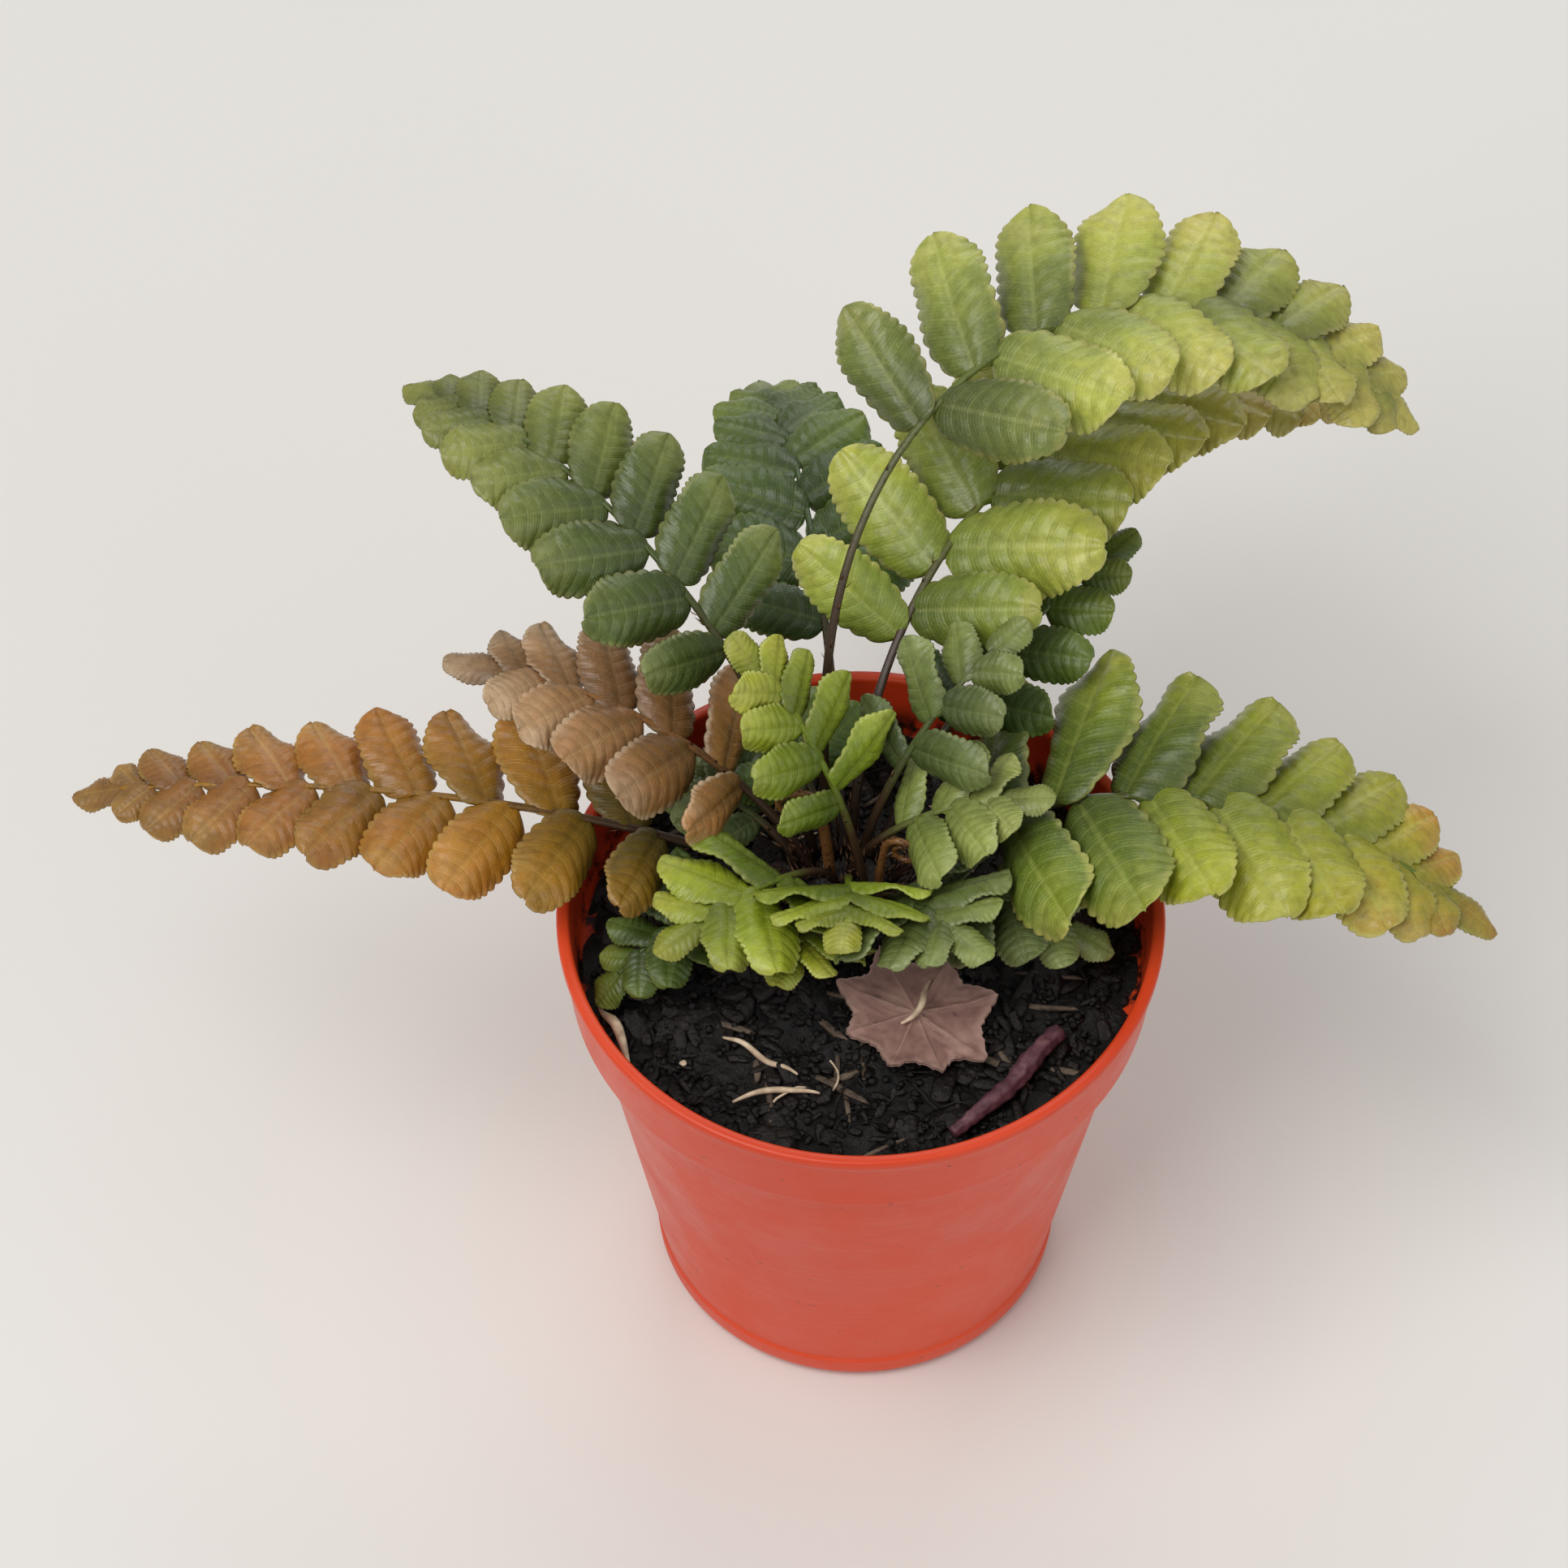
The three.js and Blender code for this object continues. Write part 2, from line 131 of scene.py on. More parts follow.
class Shade:
    """A material, with a short call for each kind of node that it is made of."""

    def __init__(self, name):
        self.material = bpy.data.materials.new(name)
        self.material.use_nodes = True
        self.tree = self.material.node_tree
        self.surface = self.tree.nodes["Principled BSDF"]

    def plug(self, socket, value):
        if isinstance(value, bpy.types.NodeSocket):
            self.tree.links.new(value, socket)
        else:
            socket.default_value = value

    def node(self, kind, **inputs):
        """A new node, with an underscore for each space in an input's name."""
        node = self.tree.nodes.new("ShaderNode" + kind)
        for name, value in inputs.items():
            self.plug(node.inputs[name.replace("_", " ")], value)
        return node

    def place(self):
        return self.node("TexCoord").outputs["Object"]

    def stretched(self, scale):
        """The place with each axis scaled, for grain that runs one way."""
        return self.node("Mapping", Vector=self.place(), Scale=scale).outputs["Vector"]

    def noise(self, scale, detail=3.0, rough=0.5, vector=None):
        vector = vector or self.place()
        node = self.node("TexNoise", Vector=vector, Scale=scale, Detail=detail, Roughness=rough)
        return node.outputs["Fac"]

    def cells(self, scale):
        return self.node("TexVoronoi", Vector=self.place(), Scale=scale).outputs["Distance"]

    def calc(self, operation, first, second=0.0, third=0.0):
        node = self.node("Math")
        node.operation = operation
        for socket, value in zip(node.inputs, (first, second, third)):
            self.plug(socket, value)
        return node.outputs[0]

    def plus(self, first, second):
        return self.calc("ADD", first, second)

    def times(self, first, second):
        return self.calc("MULTIPLY", first, second)

    def swing(self, value, size):
        """A value from 0 to 1, moved to swing about zero and scaled."""
        return self.times(self.calc("SUBTRACT", value, 0.5), size)

    def band(self, value, low, high, to_low=0.0, to_high=1.0):
        """A smooth step from to_low at the value low to to_high at the value high."""
        node = self.node("MapRange", Value=value, From_Min=low, From_Max=high, To_Min=to_low, To_Max=to_high)
        node.interpolation_type = "SMOOTHSTEP"
        return node.outputs["Result"]

    def mix(self, share, first, second, blend="MIX"):
        """The first colour with a share of the second one laid over it."""
        node = self.node("Mix")
        node.data_type = "RGBA"
        node.blend_type = blend
        for index, value in zip((0, 6, 7), (share, first, second)):
            self.plug(node.inputs[index], value)
        return node.outputs[2]

    def stain(self, colour, mask, strength, over):
        """The colour with another laid over it where a mask says."""
        return self.mix(self.times(mask, strength), colour, over)

    def ramp(self, value, steps):
        node = self.node("ValToRGB", Fac=value)
        elements = node.color_ramp.elements
        while len(elements) < len(steps):
            elements.new(0.5)
        for element, (place, colour) in zip(elements, steps):
            element.position = place
            element.color = colour
        return node.outputs["Color"]

    def tint(self):
        """A leaf vertex's shares along and across its pinna and along the frond, and its chance."""
        node = self.node("Attribute")
        node.attribute_name = "leaf"
        split = self.node("SeparateColor", Color=node.outputs["Color"])
        return *split.outputs, node.outputs["Alpha"]

    def bump(self, height, strength, distance, normal=None):
        """A relief that is distance millimetres deep, on top of another one if given."""
        node = self.node("Bump", Height=height, Strength=strength, Distance=distance * MM)
        if normal is not None:
            self.plug(node.inputs["Normal"], normal)
        return node.outputs["Normal"]

    def finish(self, colour, roughness, normal, **numbers):
        inputs = {"Base_Color": colour, "Roughness": roughness, "Normal": normal, **numbers}
        for name, value in inputs.items():
            self.plug(self.surface.inputs[name.replace("_", " ")], value)
        return self.material


# ---- Materials ----
SIDE_VEINS = 8
STRIAE_PER_VEIN = 5
STRIAE_WANDER = 7.0
# How far each thing moves a leaf's colour along its ramp.
HUE_BY_CHANCE = 0.2
HUE_ALONG_PINNA = 0.26
HUE_IN_CLOUDS = 0.36
# How strongly each thing shows on a leaf.
SIDE_VEIN_SHOWS = 0.13
MIDRIB_SHOWS = 0.26
STRIAE_SHOW = 0.1
MOTTLE_SHOWS = 0.4
BLOOM_SHOWS = 0.22
MOTTLE_COLOUR = linear(150, 152, 132)
# Brightness of a pinna: the darkest one by chance, what chance adds, and the painted shade at its base and
# painted light at its tip.
DARKEST_PINNA = 0.74
BRIGHTER_BY_CHANCE = 0.42
BASE_PAINTED_SHADE, TIP_PAINTED_LIGHT = -0.24, 0.14


def leaf_hue(s, along, frond, chance, steps):
    """Colour by the place along the frond, shifted by chance, along the pinna, and in soft clouds."""
    shifted = s.plus(frond, s.swing(chance, HUE_BY_CHANCE))
    shifted = s.plus(shifted, s.swing(along, HUE_ALONG_PINNA))
    return s.ramp(s.plus(shifted, s.swing(s.noise(260), HUE_IN_CLOUDS)), steps)


def leaf_veins(s, along, edge):
    """Masks of a pinna's side veins, midrib and striae; edge is 0 at the midrib and 1 at the margin."""
    inner = s.band(edge, 1.0, 0.4)
    turns = TURN * SIDE_VEINS
    waves = s.calc("COSINE", s.times(along, turns))
    side_vein = s.times(s.band(waves, 0.7, 1.0), inner)
    ripple = s.plus(s.times(along, turns * STRIAE_PER_VEIN), s.times(s.noise(700), STRIAE_WANDER))
    striae = s.band(s.calc("SINE", ripple), 0.1, 1.0)
    midrib = s.band(edge, 0.09, 0.02)
    return side_vein, midrib, striae


def leaf_material(name, steps, margin, vein):
    """Fern leaf: colour runs along the frond and each pinna, with fine veins, a pale margin, and painted
    shade at each pinna's base and painted light at its tip.
    """
    s = Shade(name)
    along, across, frond, chance = s.tint()
    colour = leaf_hue(s, along, frond, chance, steps)
    edge = s.calc("ABSOLUTE", s.calc("SUBTRACT", s.times(across, 2.0), 1.0))
    side_vein, midrib, striae = leaf_veins(s, along, edge)
    for mask, strength in ((side_vein, SIDE_VEIN_SHOWS), (midrib, MIDRIB_SHOWS), (striae, STRIAE_SHOW)):
        colour = s.stain(colour, mask, strength, vein)
    rim = s.times(s.band(edge, 0.84, 1.0), s.band(s.noise(420, 2), 0.35, 0.6, 0.2, 0.7))
    colour = s.mix(rim, colour, margin)
    pale_tip = s.times(s.band(along, 0.45, 1.0, 0.0, 0.42), s.band(s.noise(300, 2), 0.35, 0.65))
    colour = s.mix(pale_tip, colour, margin)
    mottle = s.times(s.band(s.noise(900, 4, 0.6), 0.35, 0.75), MOTTLE_SHOWS)
    colour = s.mix(mottle, colour, s.mix(1.0, colour, MOTTLE_COLOUR, "MULTIPLY"))
    bloom = s.band(s.noise(3400, 2), 0.58, 0.72)
    colour = s.stain(colour, bloom, BLOOM_SHOWS, vein)
    # Painted shade darkens each pinna towards its base, and painted light brightens it towards its tip.
    depth = s.band(along, 0.0, 0.75, BASE_PAINTED_SHADE, TIP_PAINTED_LIGHT)
    tone_and_painted_shade = s.plus(s.calc("MULTIPLY_ADD", chance, BRIGHTER_BY_CHANCE, DARKEST_PINNA), depth)
    # The grey multiplies the colour by the random tone and by the painted shade and light.
    grey = s.node("CombineColor", Red=tone_and_painted_shade, Green=tone_and_painted_shade, Blue=tone_and_painted_shade)
    colour = s.mix(1.0, colour, grey.outputs["Color"], "MULTIPLY")
    normal = s.bump(s.cells(2600), 0.4, 0.07)
    normal = s.bump(striae, 0.35, 0.05, normal)
    normal = s.bump(side_vein, 0.4, -0.05, normal)
    rough = s.band(s.noise(500), 0.3, 0.7, 0.34, 0.52)
    return s.finish(colour, rough, normal, Specular_IOR_Level=0.5, Coat_Weight=0.15, Coat_Roughness=0.2)


# The share of the leaf's colour that the stalk keeps halfway up: painted shade.
STALK_MIDDLE_PAINTED_SHADE = 0.62


def stalk_material(name, leaf):
    """Rachis and stipe: dark brown at the foot, partly its own colour and partly painted shade in the crown,
    and darkened halfway up by painted shade; close to the leaf's colour above, with dark flecks.
    """
    s = Shade(name)
    _, _, frond, _ = s.tint()
    painted_shade_mid = tuple(STALK_MIDDLE_PAINTED_SHADE * channel for channel in leaf)
    # The foot's dark brown is partly the stalk's own colour and partly painted shade in the crown.
    foot = stops((0.0, 36, 22, 16), (0.28, 62, 44, 26))
    colour = s.ramp(frond, [*foot, (0.5, painted_shade_mid), (1.0, leaf)])
    fleck = s.band(s.noise(1500, 3, 0.7), 0.5, 0.62)
    colour = s.stain(colour, fleck, 0.5, linear(52, 30, 18))
    normal = s.bump(s.noise(2200), 0.4, 0.08)
    return s.finish(colour, 0.42, normal)


def scale_material():
    """Papery brown scales on the rhizome, stipe feet and croziers."""
    s = Shade("fern_scale")
    colour = s.ramp(s.noise(900), stops((0.3, 50, 30, 18), (0.55, 104, 68, 38), (0.8, 150, 112, 70)))
    return s.finish(colour, 0.62, s.bump(s.noise(3000, 2), 0.4, 0.05))


# Radii and heights, in metres, over which the smear of mix inside the pot fades in.
SMEAR_OUTSIDE, SMEAR_INSIDE = 0.0262, 0.0258
SMEAR_FOOT = (0.0412, 0.0416)
SMEAR_TOP = (0.0478, 0.0438)


def pot_material():
    """Terracotta-coloured plastic, satin, with a moulded grain, faint scuffs and a smear of mix inside."""
    s = Shade("pot_plastic")
    cloud = s.noise(28, 4, 0.55)
    colour = s.ramp(cloud, stops((0.25, 206, 60, 25), (0.5, 220, 69, 30), (0.8, 230, 81, 39)))
    scuffs = s.band(s.noise(70, 6, 0.75, s.stretched((1.0, 1.0, 9.0))), 0.56, 0.74)
    colour = s.stain(colour, scuffs, 0.12, linear(236, 126, 86))
    specks = s.band(s.noise(620, 4, 0.7), 0.66, 0.72)
    colour = s.stain(colour, specks, 0.55, linear(70, 36, 26))
    x, y, z = s.node("SeparateXYZ", Vector=s.place()).outputs
    radius = s.calc("SQRT", s.plus(s.times(x, x), s.times(y, y)))
    inside = s.times(s.band(radius, SMEAR_OUTSIDE, SMEAR_INSIDE), s.band(z, *SMEAR_FOOT))
    level = s.times(inside, s.band(z, *SMEAR_TOP))
    smear = s.times(level, s.band(s.noise(330, 5, 0.7), 0.42, 0.56))
    colour = s.mix(smear, colour, linear(30, 20, 16))
    rings = s.noise(60, 2, 0.4, s.stretched((0.12, 0.12, 18.0)))
    normal = s.bump(rings, 0.25, 0.12)
    normal = s.bump(s.noise(1400, 3, 0.6), 0.18, 0.06, normal)
    rough = s.band(s.noise(110, 5, 0.65), 0.3, 0.75, 0.3, 0.5)
    return s.finish(colour, rough, normal, Specular_IOR_Level=0.42)


def mix_material(name, dark, light, rough_low, rough_high):
    """Wet peat, bark or straw, with brown grain and a wet gloss that comes and goes."""
    s = Shade(name)
    grain = s.noise(420, 6, 0.7)
    colour = s.ramp(grain, stops((0.3, *dark), (0.62, *light), (0.86, 46, 37, 32)))
    fibres = s.band(s.noise(900, 4, 0.7, s.stretched((1.0, 6.0, 2.0))), 0.6, 0.72)
    colour = s.stain(colour, fibres, 0.4, linear(96, 78, 64))
    normal = s.bump(s.noise(700, 6, 0.75), 0.8, 0.5)
    normal = s.bump(s.cells(1800), 0.5, 0.15, normal)
    rough = s.band(s.noise(160, 4, 0.6), 0.35, 0.7, rough_low, rough_high)
    return s.finish(colour, rough, normal, Specular_IOR_Level=0.42)


def fibre_material():
    s = Shade("pale_fibre")
    colour = s.ramp(s.noise(900), stops((0.3, 178, 152, 126), (0.6, 228, 206, 176), (0.85, 246, 234, 212)))
    return s.finish(colour, 0.6, s.bump(s.noise(2600), 0.4, 0.06))


def dead_leaf_material():
    """A dry mauve-brown leaf, paler along its veins and rim and darker in blotches."""
    s = Shade("dead_leaf")
    along, across, _, _ = s.tint()
    cloud = s.noise(330, 5, 0.6)
    colour = s.ramp(cloud, stops((0.25, 116, 84, 78), (0.5, 152, 116, 105), (0.8, 184, 150, 136)))
    colour = s.stain(colour, s.band(across, 0.75, 1.0), 0.4, linear(200, 168, 152))
    colour = s.stain(colour, s.band(along, 0.86, 1.0), 0.5, linear(190, 158, 146))
    spots = s.band(s.noise(700, 4, 0.7), 0.6, 0.7)
    colour = s.stain(colour, spots, 0.55, linear(84, 56, 54))
    normal = s.bump(s.noise(1100, 5, 0.7), 0.5, 0.15)
    return s.finish(colour, 0.62, normal)


def dead_stalk_material():
    s = Shade("dead_stalk")
    grain = s.noise(520, 5, 0.65)
    colour = s.ramp(grain, stops((0.3, 62, 34, 42), (0.55, 100, 62, 72), (0.8, 140, 98, 100)))
    return s.finish(colour, 0.5, s.bump(s.noise(1600, 4, 0.7), 0.6, 0.12))


def floor_material():
    s = Shade("studio_floor")
    colour = s.ramp(s.noise(3.0, 4), stops((0.3, 226, 224, 220), (0.7, 232, 230, 226)))
    return s.finish(colour, 0.7, s.bump(s.noise(420), 0.06, 0.2))


# For each look, the ramp from a frond's foot to its tip, then the colours of its margins and veins.
LEAF_LOOKS = {
    "gold": (((0, 84, 106, 34), (0.35, 134, 150, 52), (0.65, 170, 170, 66), (0.97, 158, 132, 54)),
             (192, 186, 104), (190, 196, 110)),
    "tall": (((0, 78, 98, 40), (0.5, 118, 132, 56), (0.75, 166, 172, 72), (1, 172, 160, 74)),
             (196, 190, 116), (190, 196, 116)),
    "olive": (((0, 74, 92, 46), (0.3, 98, 118, 36), (0.6, 152, 158, 34), (0.85, 160, 150, 36),
               (1, 168, 122, 42)),
              (188, 186, 104), (182, 190, 98)),
    "bronze": (((0, 112, 98, 22), (0.3, 166, 118, 24), (0.65, 164, 102, 34), (1, 134, 96, 42)),
               (186, 152, 84), (188, 150, 68)),
    "rose": (((0, 128, 98, 34), (0.4, 158, 108, 56), (0.75, 166, 124, 82), (1, 172, 142, 108)),
             (204, 180, 150), (192, 160, 112)),
    "lime": (((0, 80, 104, 16), (0.45, 116, 138, 20), (0.8, 146, 156, 34), (1, 154, 154, 46)),
             (172, 178, 92), (168, 184, 90)),
    "pale": (((0, 86, 108, 44), (0.5, 128, 142, 66), (1, 148, 156, 78)),
             (176, 182, 120), (182, 192, 118)),
    "sage": (((0, 62, 80, 36), (0.5, 92, 108, 54), (1, 120, 132, 62)),
             (146, 156, 104), (150, 164, 104)),
    "dusk": (((0, 54, 74, 28), (0.5, 84, 102, 38), (1, 130, 132, 54)),
             (148, 150, 90), (148, 160, 90)),
    "green": (((0, 40, 62, 20), (0.5, 64, 88, 26), (0.85, 88, 108, 36), (1, 110, 120, 42)),
              (118, 134, 66), (130, 148, 74)),
}
LEAF = {
    look: leaf_material("fern_leaf_" + look, stops(*rows), linear(*margin), linear(*vein))
    for look, (rows, margin, vein) in LEAF_LOOKS.items()
}
STALKS = {
    look: stalk_material("fern_stalk_" + look, linear(*rows[1][1:]))
    for look, (rows, _, _) in LEAF_LOOKS.items()
}
SCALE = scale_material()
POT = pot_material()
PEAT = mix_material("peat", (5, 4, 4), (15, 12, 10), 0.25, 0.85)
BARK = mix_material("bark", (8, 6, 6), (32, 27, 25), 0.08, 0.45)
STRAW = mix_material("straw", (62, 50, 42), (118, 102, 86), 0.35, 0.7)
FIBRE = fibre_material()
DEAD_LEAF = dead_leaf_material()
DEAD_STALK = dead_stalk_material()


# ---- Mesh helpers ----
def unit(vectors):
    return vectors / np.maximum(np.linalg.norm(vectors, axis=-1, keepdims=True), 1e-12)


def lerp(start, end, share):
    return start + (end - start) * share


class Solid:
    """Gathers closed shapes, in millimetres, into one mesh with a material for each shape."""

    def __init__(self, materials):
        self.materials = materials
        self.points, self.faces, self.slots, self.tints = [], [], [], []
        self.count = 0

    def add(self, points, faces, slot=0, tint=None):
        """Adds a shape; tint is the four leaf numbers of each point, or nothing for a chance of its own."""
        points = np.asarray(points, float).reshape(-1, 3)
        if tint is None:
            tint = np.tile([0.5, 0.5, 0.5, rng.random()], (len(points), 1))
        self.points.append(points)
        self.tints.append(np.broadcast_to(tint, (len(points), 4)))
        for face in faces:
            face = np.asarray(face) + self.count
            self.faces.extend(face.tolist())
            self.slots.extend([slot] * len(face))
        self.count += len(points)

    def build(self, name):
        mesh = bpy.data.meshes.new(name)
        points = np.concatenate(self.points) * MM
        mesh.from_pydata(points.tolist(), [], self.faces)
        for material in self.materials:
            mesh.materials.append(material)
        mesh.polygons.foreach_set("material_index", self.slots)
        tints = mesh.color_attributes.new("leaf", "FLOAT_COLOR", "POINT")
        tints.data.foreach_set("color", np.concatenate(self.tints).ravel())
        mesh.polygons.foreach_set("use_smooth", [True] * len(self.faces))
        mesh.update()
        obj = bpy.data.objects.new(name, mesh)
        bpy.context.collection.objects.link(obj)
        return obj


def grid_quads(rows, cols, wrap=False):
    """Quads of a grid of points whose rows run first; wrap joins the last column to the first."""
    across = np.arange(cols if wrap else cols - 1)
    down = np.arange(rows - 1)[:, None] * cols
    here, beside = (down + across).ravel(), (down + (across + 1) % cols).ravel()
    return np.stack([here, here + cols, beside + cols, beside], 1)


def fan(hub, ring, flip=False):
    """Triangles from one point to a closed ring of points; flip turns them to face the other way."""
    after = np.roll(ring, -1)
    pair = (ring, after) if flip else (after, ring)
    return np.stack([np.full(len(ring), hub), *pair], 1)


def sheet(top, thickness, down):
    """A thin closed sheet from a grid of points, thickened along a direction."""
    rows, cols, _ = top.shape
    count = rows * cols
    points = np.concatenate([top.reshape(-1, 3), (top + np.asarray(down) * thickness).reshape(-1, 3)])
    upper = grid_quads(rows, cols)
    index = np.arange(count).reshape(rows, cols)
    loop = np.concatenate([index[:, 0], index[-1, 1:], index[::-1, -1][1:], index[0, ::-1][1:-1]])
    after = np.roll(loop, -1)
    walls = np.stack([after, loop, loop + count, after + count], 1)
    return points, [upper, upper[:, ::-1] + count, walls]


GROOVE_SPREAD = 0.45
FLUTES = 6


def tube(line, radii, sides=10, side_hint=(0, 0, 1), groove=0.0, ridge=0.0):
    """A closed rod along a line, with a groove along its hinted side or ridges all round."""
    line = np.asarray(line, float)
    radii = np.broadcast_to(radii, len(line))
    ahead = unit(np.gradient(line, axis=0))
    hint = np.broadcast_to(np.asarray(side_hint, float), line.shape)
    left = unit(np.cross(hint, ahead))
    top = np.cross(ahead, left)
    turn = np.arange(sides) / sides * TURN
    from_top = np.angle(np.exp(1j * (turn - math.pi / 2)))
    shape = 1 - groove * np.exp(-((from_top / GROOVE_SPREAD) ** 2)) + ridge * np.cos(turn * FLUTES)
    ring = left[:, None] * np.cos(turn)[None, :, None] + top[:, None] * np.sin(turn)[None, :, None]
    wall = line[:, None] + ring * (radii[:, None] * shape[None, :])[..., None]
    points = np.concatenate([wall.reshape(-1, 3), line[:1], line[-1:]])
    count = len(line) * sides
    foot = fan(count, np.arange(sides))
    head = fan(count + 1, np.arange(count - sides, count), flip=True)
    return points, [grid_quads(len(line), sides, True)[:, ::-1], foot, head]


def lathe(profile, sides):
    """A closed solid turned about Z from (radius, height) points, anticlockwise from axis to axis."""
    profile = np.asarray(profile, float)
    turn = np.arange(sides) / sides * TURN
    body = profile[1:-1]
    ring = np.stack([np.cos(turn), np.sin(turn)], 1)
    heights = np.broadcast_to(body[:, None, 1:], (len(body), sides, 1))
    wall = np.concatenate([body[:, None, :1] * ring[None], heights], 2)
    points = np.concatenate([wall.reshape(-1, 3), [[0, 0, profile[0][1]], [0, 0, profile[-1][1]]]])
    count = len(body) * sides
    first_cap = fan(count, np.arange(sides))
    last_cap = fan(count + 1, np.arange(count - sides, count), flip=True)
    return points, [grid_quads(len(body), sides, True)[:, ::-1], first_cap, last_cap]


FLAKE_FACES = [np.array([[0, 1, 3], [1, 2, 3], [2, 0, 3], [0, 2, 1]])]


def flake(root, along, outward, length, width):
    """A slender papery scale: a flat spike with a low ridge."""
    half = unit(np.cross(outward, along)) * width / 2
    ridge = root + along * length * 0.4 + outward * width * 0.3
    return np.array([root - half, root + half, root + along * length, ridge]), FLAKE_FACES


def mount_piece(obj, node):
    """Every visible piece rides on the only body and stands for its CAD node."""
    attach(obj, "root")
    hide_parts(node)


def box_mm(node):
    """The low and high corners of a CAD node, in millimetres."""
    low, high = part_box(node)
    return np.array(low) / MM, np.array(high) / MM


# ---- Pot ----
_, pot_high = box_mm("pot")
RIM = pot_high[0]
HEIGHT = pot_high[2]
BAND = 8.5
WALL = 0.9
SHOULDER = HEIGHT - BAND
BASE = 19.0
BASE_LIFT = 0.5
FLOOR_TOP = 1.7
BAND_TAPER = 1
BODY_STEP = 1.5
INNER_RIM = RIM - BAND_TAPER - WALL
POT_SIDES = 144
EDGE_ROUNDING = 0.45
ROUNDING_STEPS = 4
DRAINS = 4
DRAIN_RADIUS = 2.6
DRAIN_RING = 11.5
DRILL_HEIGHTS = (-1.0, 0.5, 3.5)


def rounded(points, radius):
    """The profile with each inner corner rounded off."""
    points = [np.array(p, float) for p in points]
    out = [points[0]]
    for before, corner, after in zip(points, points[1:], points[2:]):
        sides = np.linalg.norm(before - corner), np.linalg.norm(after - corner)
        reach = min(radius, sides[0] * 0.45, sides[1] * 0.45)
        start, end = corner + unit(before - corner) * reach, corner + unit(after - corner) * reach
        for k in range(ROUNDING_STEPS + 1):
            f = k / ROUNDING_STEPS
            out.append((1 - f) ** 2 * start + 2 * f * (1 - f) * corner + f * f * end)
    return out + [points[-1]]


def bake(obj):
    """Puts the result of the modifiers into the mesh."""
    view = bpy.context.evaluated_depsgraph_get()
    mesh = bpy.data.meshes.new_from_object(obj.evaluated_get(view))
    obj.modifiers.clear()
    obj.data = mesh


def pot_profile():
    """The pot's section: the base and its foot ring, up the outside to the rim, and down the inside."""
    body_top = RIM - BODY_STEP - WALL
    foot_ring = [
        (0, BASE_LIFT), (BASE - 5.0, BASE_LIFT), (BASE - 4.6, 0), (BASE - 1.0, 0),
        (BASE + 0.1, 0.9), (BASE + 0.25, 3.0), (BASE + 0.05, 3.3),
    ]
    band = [
        (body_top, SHOULDER - 0.1), (RIM - BAND_TAPER, SHOULDER + 0.1), (RIM - 0.9, SHOULDER + 0.7),
        (RIM - 0.35, HEIGHT - 1.6), (RIM, HEIGHT - 1.1), (RIM, HEIGHT - 0.1),
    ]
    inside = [
        (INNER_RIM + 0.75, HEIGHT - 0.1), (INNER_RIM, SHOULDER + 1.4), (body_top - WALL, SHOULDER + WALL),
        (BASE - WALL, FLOOR_TOP), (0, FLOOR_TOP),
    ]
    return foot_ring + band + inside


def make_pot():
    """The nursery pot, with its drain holes cut through the base."""
    solid = Solid([POT])
    solid.add(*lathe(rounded(pot_profile(), EDGE_ROUNDING), POT_SIDES))
    obj = solid.build("nursery_pot")
    cutters = []
    for i in range(DRAINS):
        angle = (i + 0.5) / DRAINS * TURN
        x, y = DRAIN_RING * math.cos(angle), DRAIN_RING * math.sin(angle)
        drill = Solid([POT])
        drill.add(*tube([(x, y, z) for z in DRILL_HEIGHTS], DRAIN_RADIUS, 36, (1, 0, 0)))
        cutters.append(drill.build("drill"))
    for cutter in cutters:
        cut = obj.modifiers.new("drain", "BOOLEAN")
        cut.object = cutter
        cut.solver = "EXACT"
    bake(obj)
    for cutter in cutters:
        bpy.data.meshes.remove(cutter.data)
    mount_piece(obj, "pot")


make_pot()


# ---- Potting mix ----
MIX_BELOW_RIM = 7
MIX_TOP = HEIGHT - MIX_BELOW_RIM
MIX_EDGE = INNER_RIM - 0.3
MIX_RINGS, MIX_SIDES = 74, 150
PLUG_FOOT = 2.2
MOUND_HEIGHT, MOUND_REACH = 1.6, 11
# Layers of the peat's relief: height, frequency, and the level at which the noise is read.
RELIEF = ((0.55, 0.45, 3.1), (0.35, 1.3, 7.7), (0.15, 3.1, 1.2))
PEAT_SLOT, BARK_SLOT, PALE_SLOT, STRAW_SLOT = range(4)
CHIPS = 640
SPLINTER_EVERY, PALE_CRUMB_EVERY, LONG_CHIP_EVERY, PALE_ROOT_EVERY = 16, 61, 5, 6
GRAINS = 1300
THIN_ROOTS = 70
crown_low, crown_high = box_mm("rhizome_crown")
CROWN = (crown_low + crown_high) / 2
CROWN_RADII = (crown_high - crown_low) / 2


def mix_height(x, y):
    """Height of the mix: the mound at the crown and the soft lumps."""
    reach = np.hypot(x - CROWN[0], y - CROWN[1])
    mound = MOUND_HEIGHT * np.exp(-((reach / MOUND_REACH) ** 2))
    lumps = 0.35 * np.sin(x * 0.55 + 1.3) * np.cos(y * 0.62)
    return MIX_TOP + mound + lumps + 0.25 * np.sin(x * 0.9 - y * 1.1)


def crumbs(x, y):
    """Fine relief of the peat at a place."""
    return sum(height * noise.noise(Vector((x * rate, y * rate, level))) for height, rate, level in RELIEF)


def pebble_shape(detail):
    """A rough block, about 2 across, as points and triangles."""
    ball = bmesh.new()
    bmesh.ops.create_icosphere(ball, subdivisions=detail, radius=1)
    points = np.array([v.co[:] for v in ball.verts])
    faces = np.array([[v.index for v in f.verts] for f in ball.faces])
    ball.free()
    return np.sign(points) * np.abs(points) ** 0.7, faces


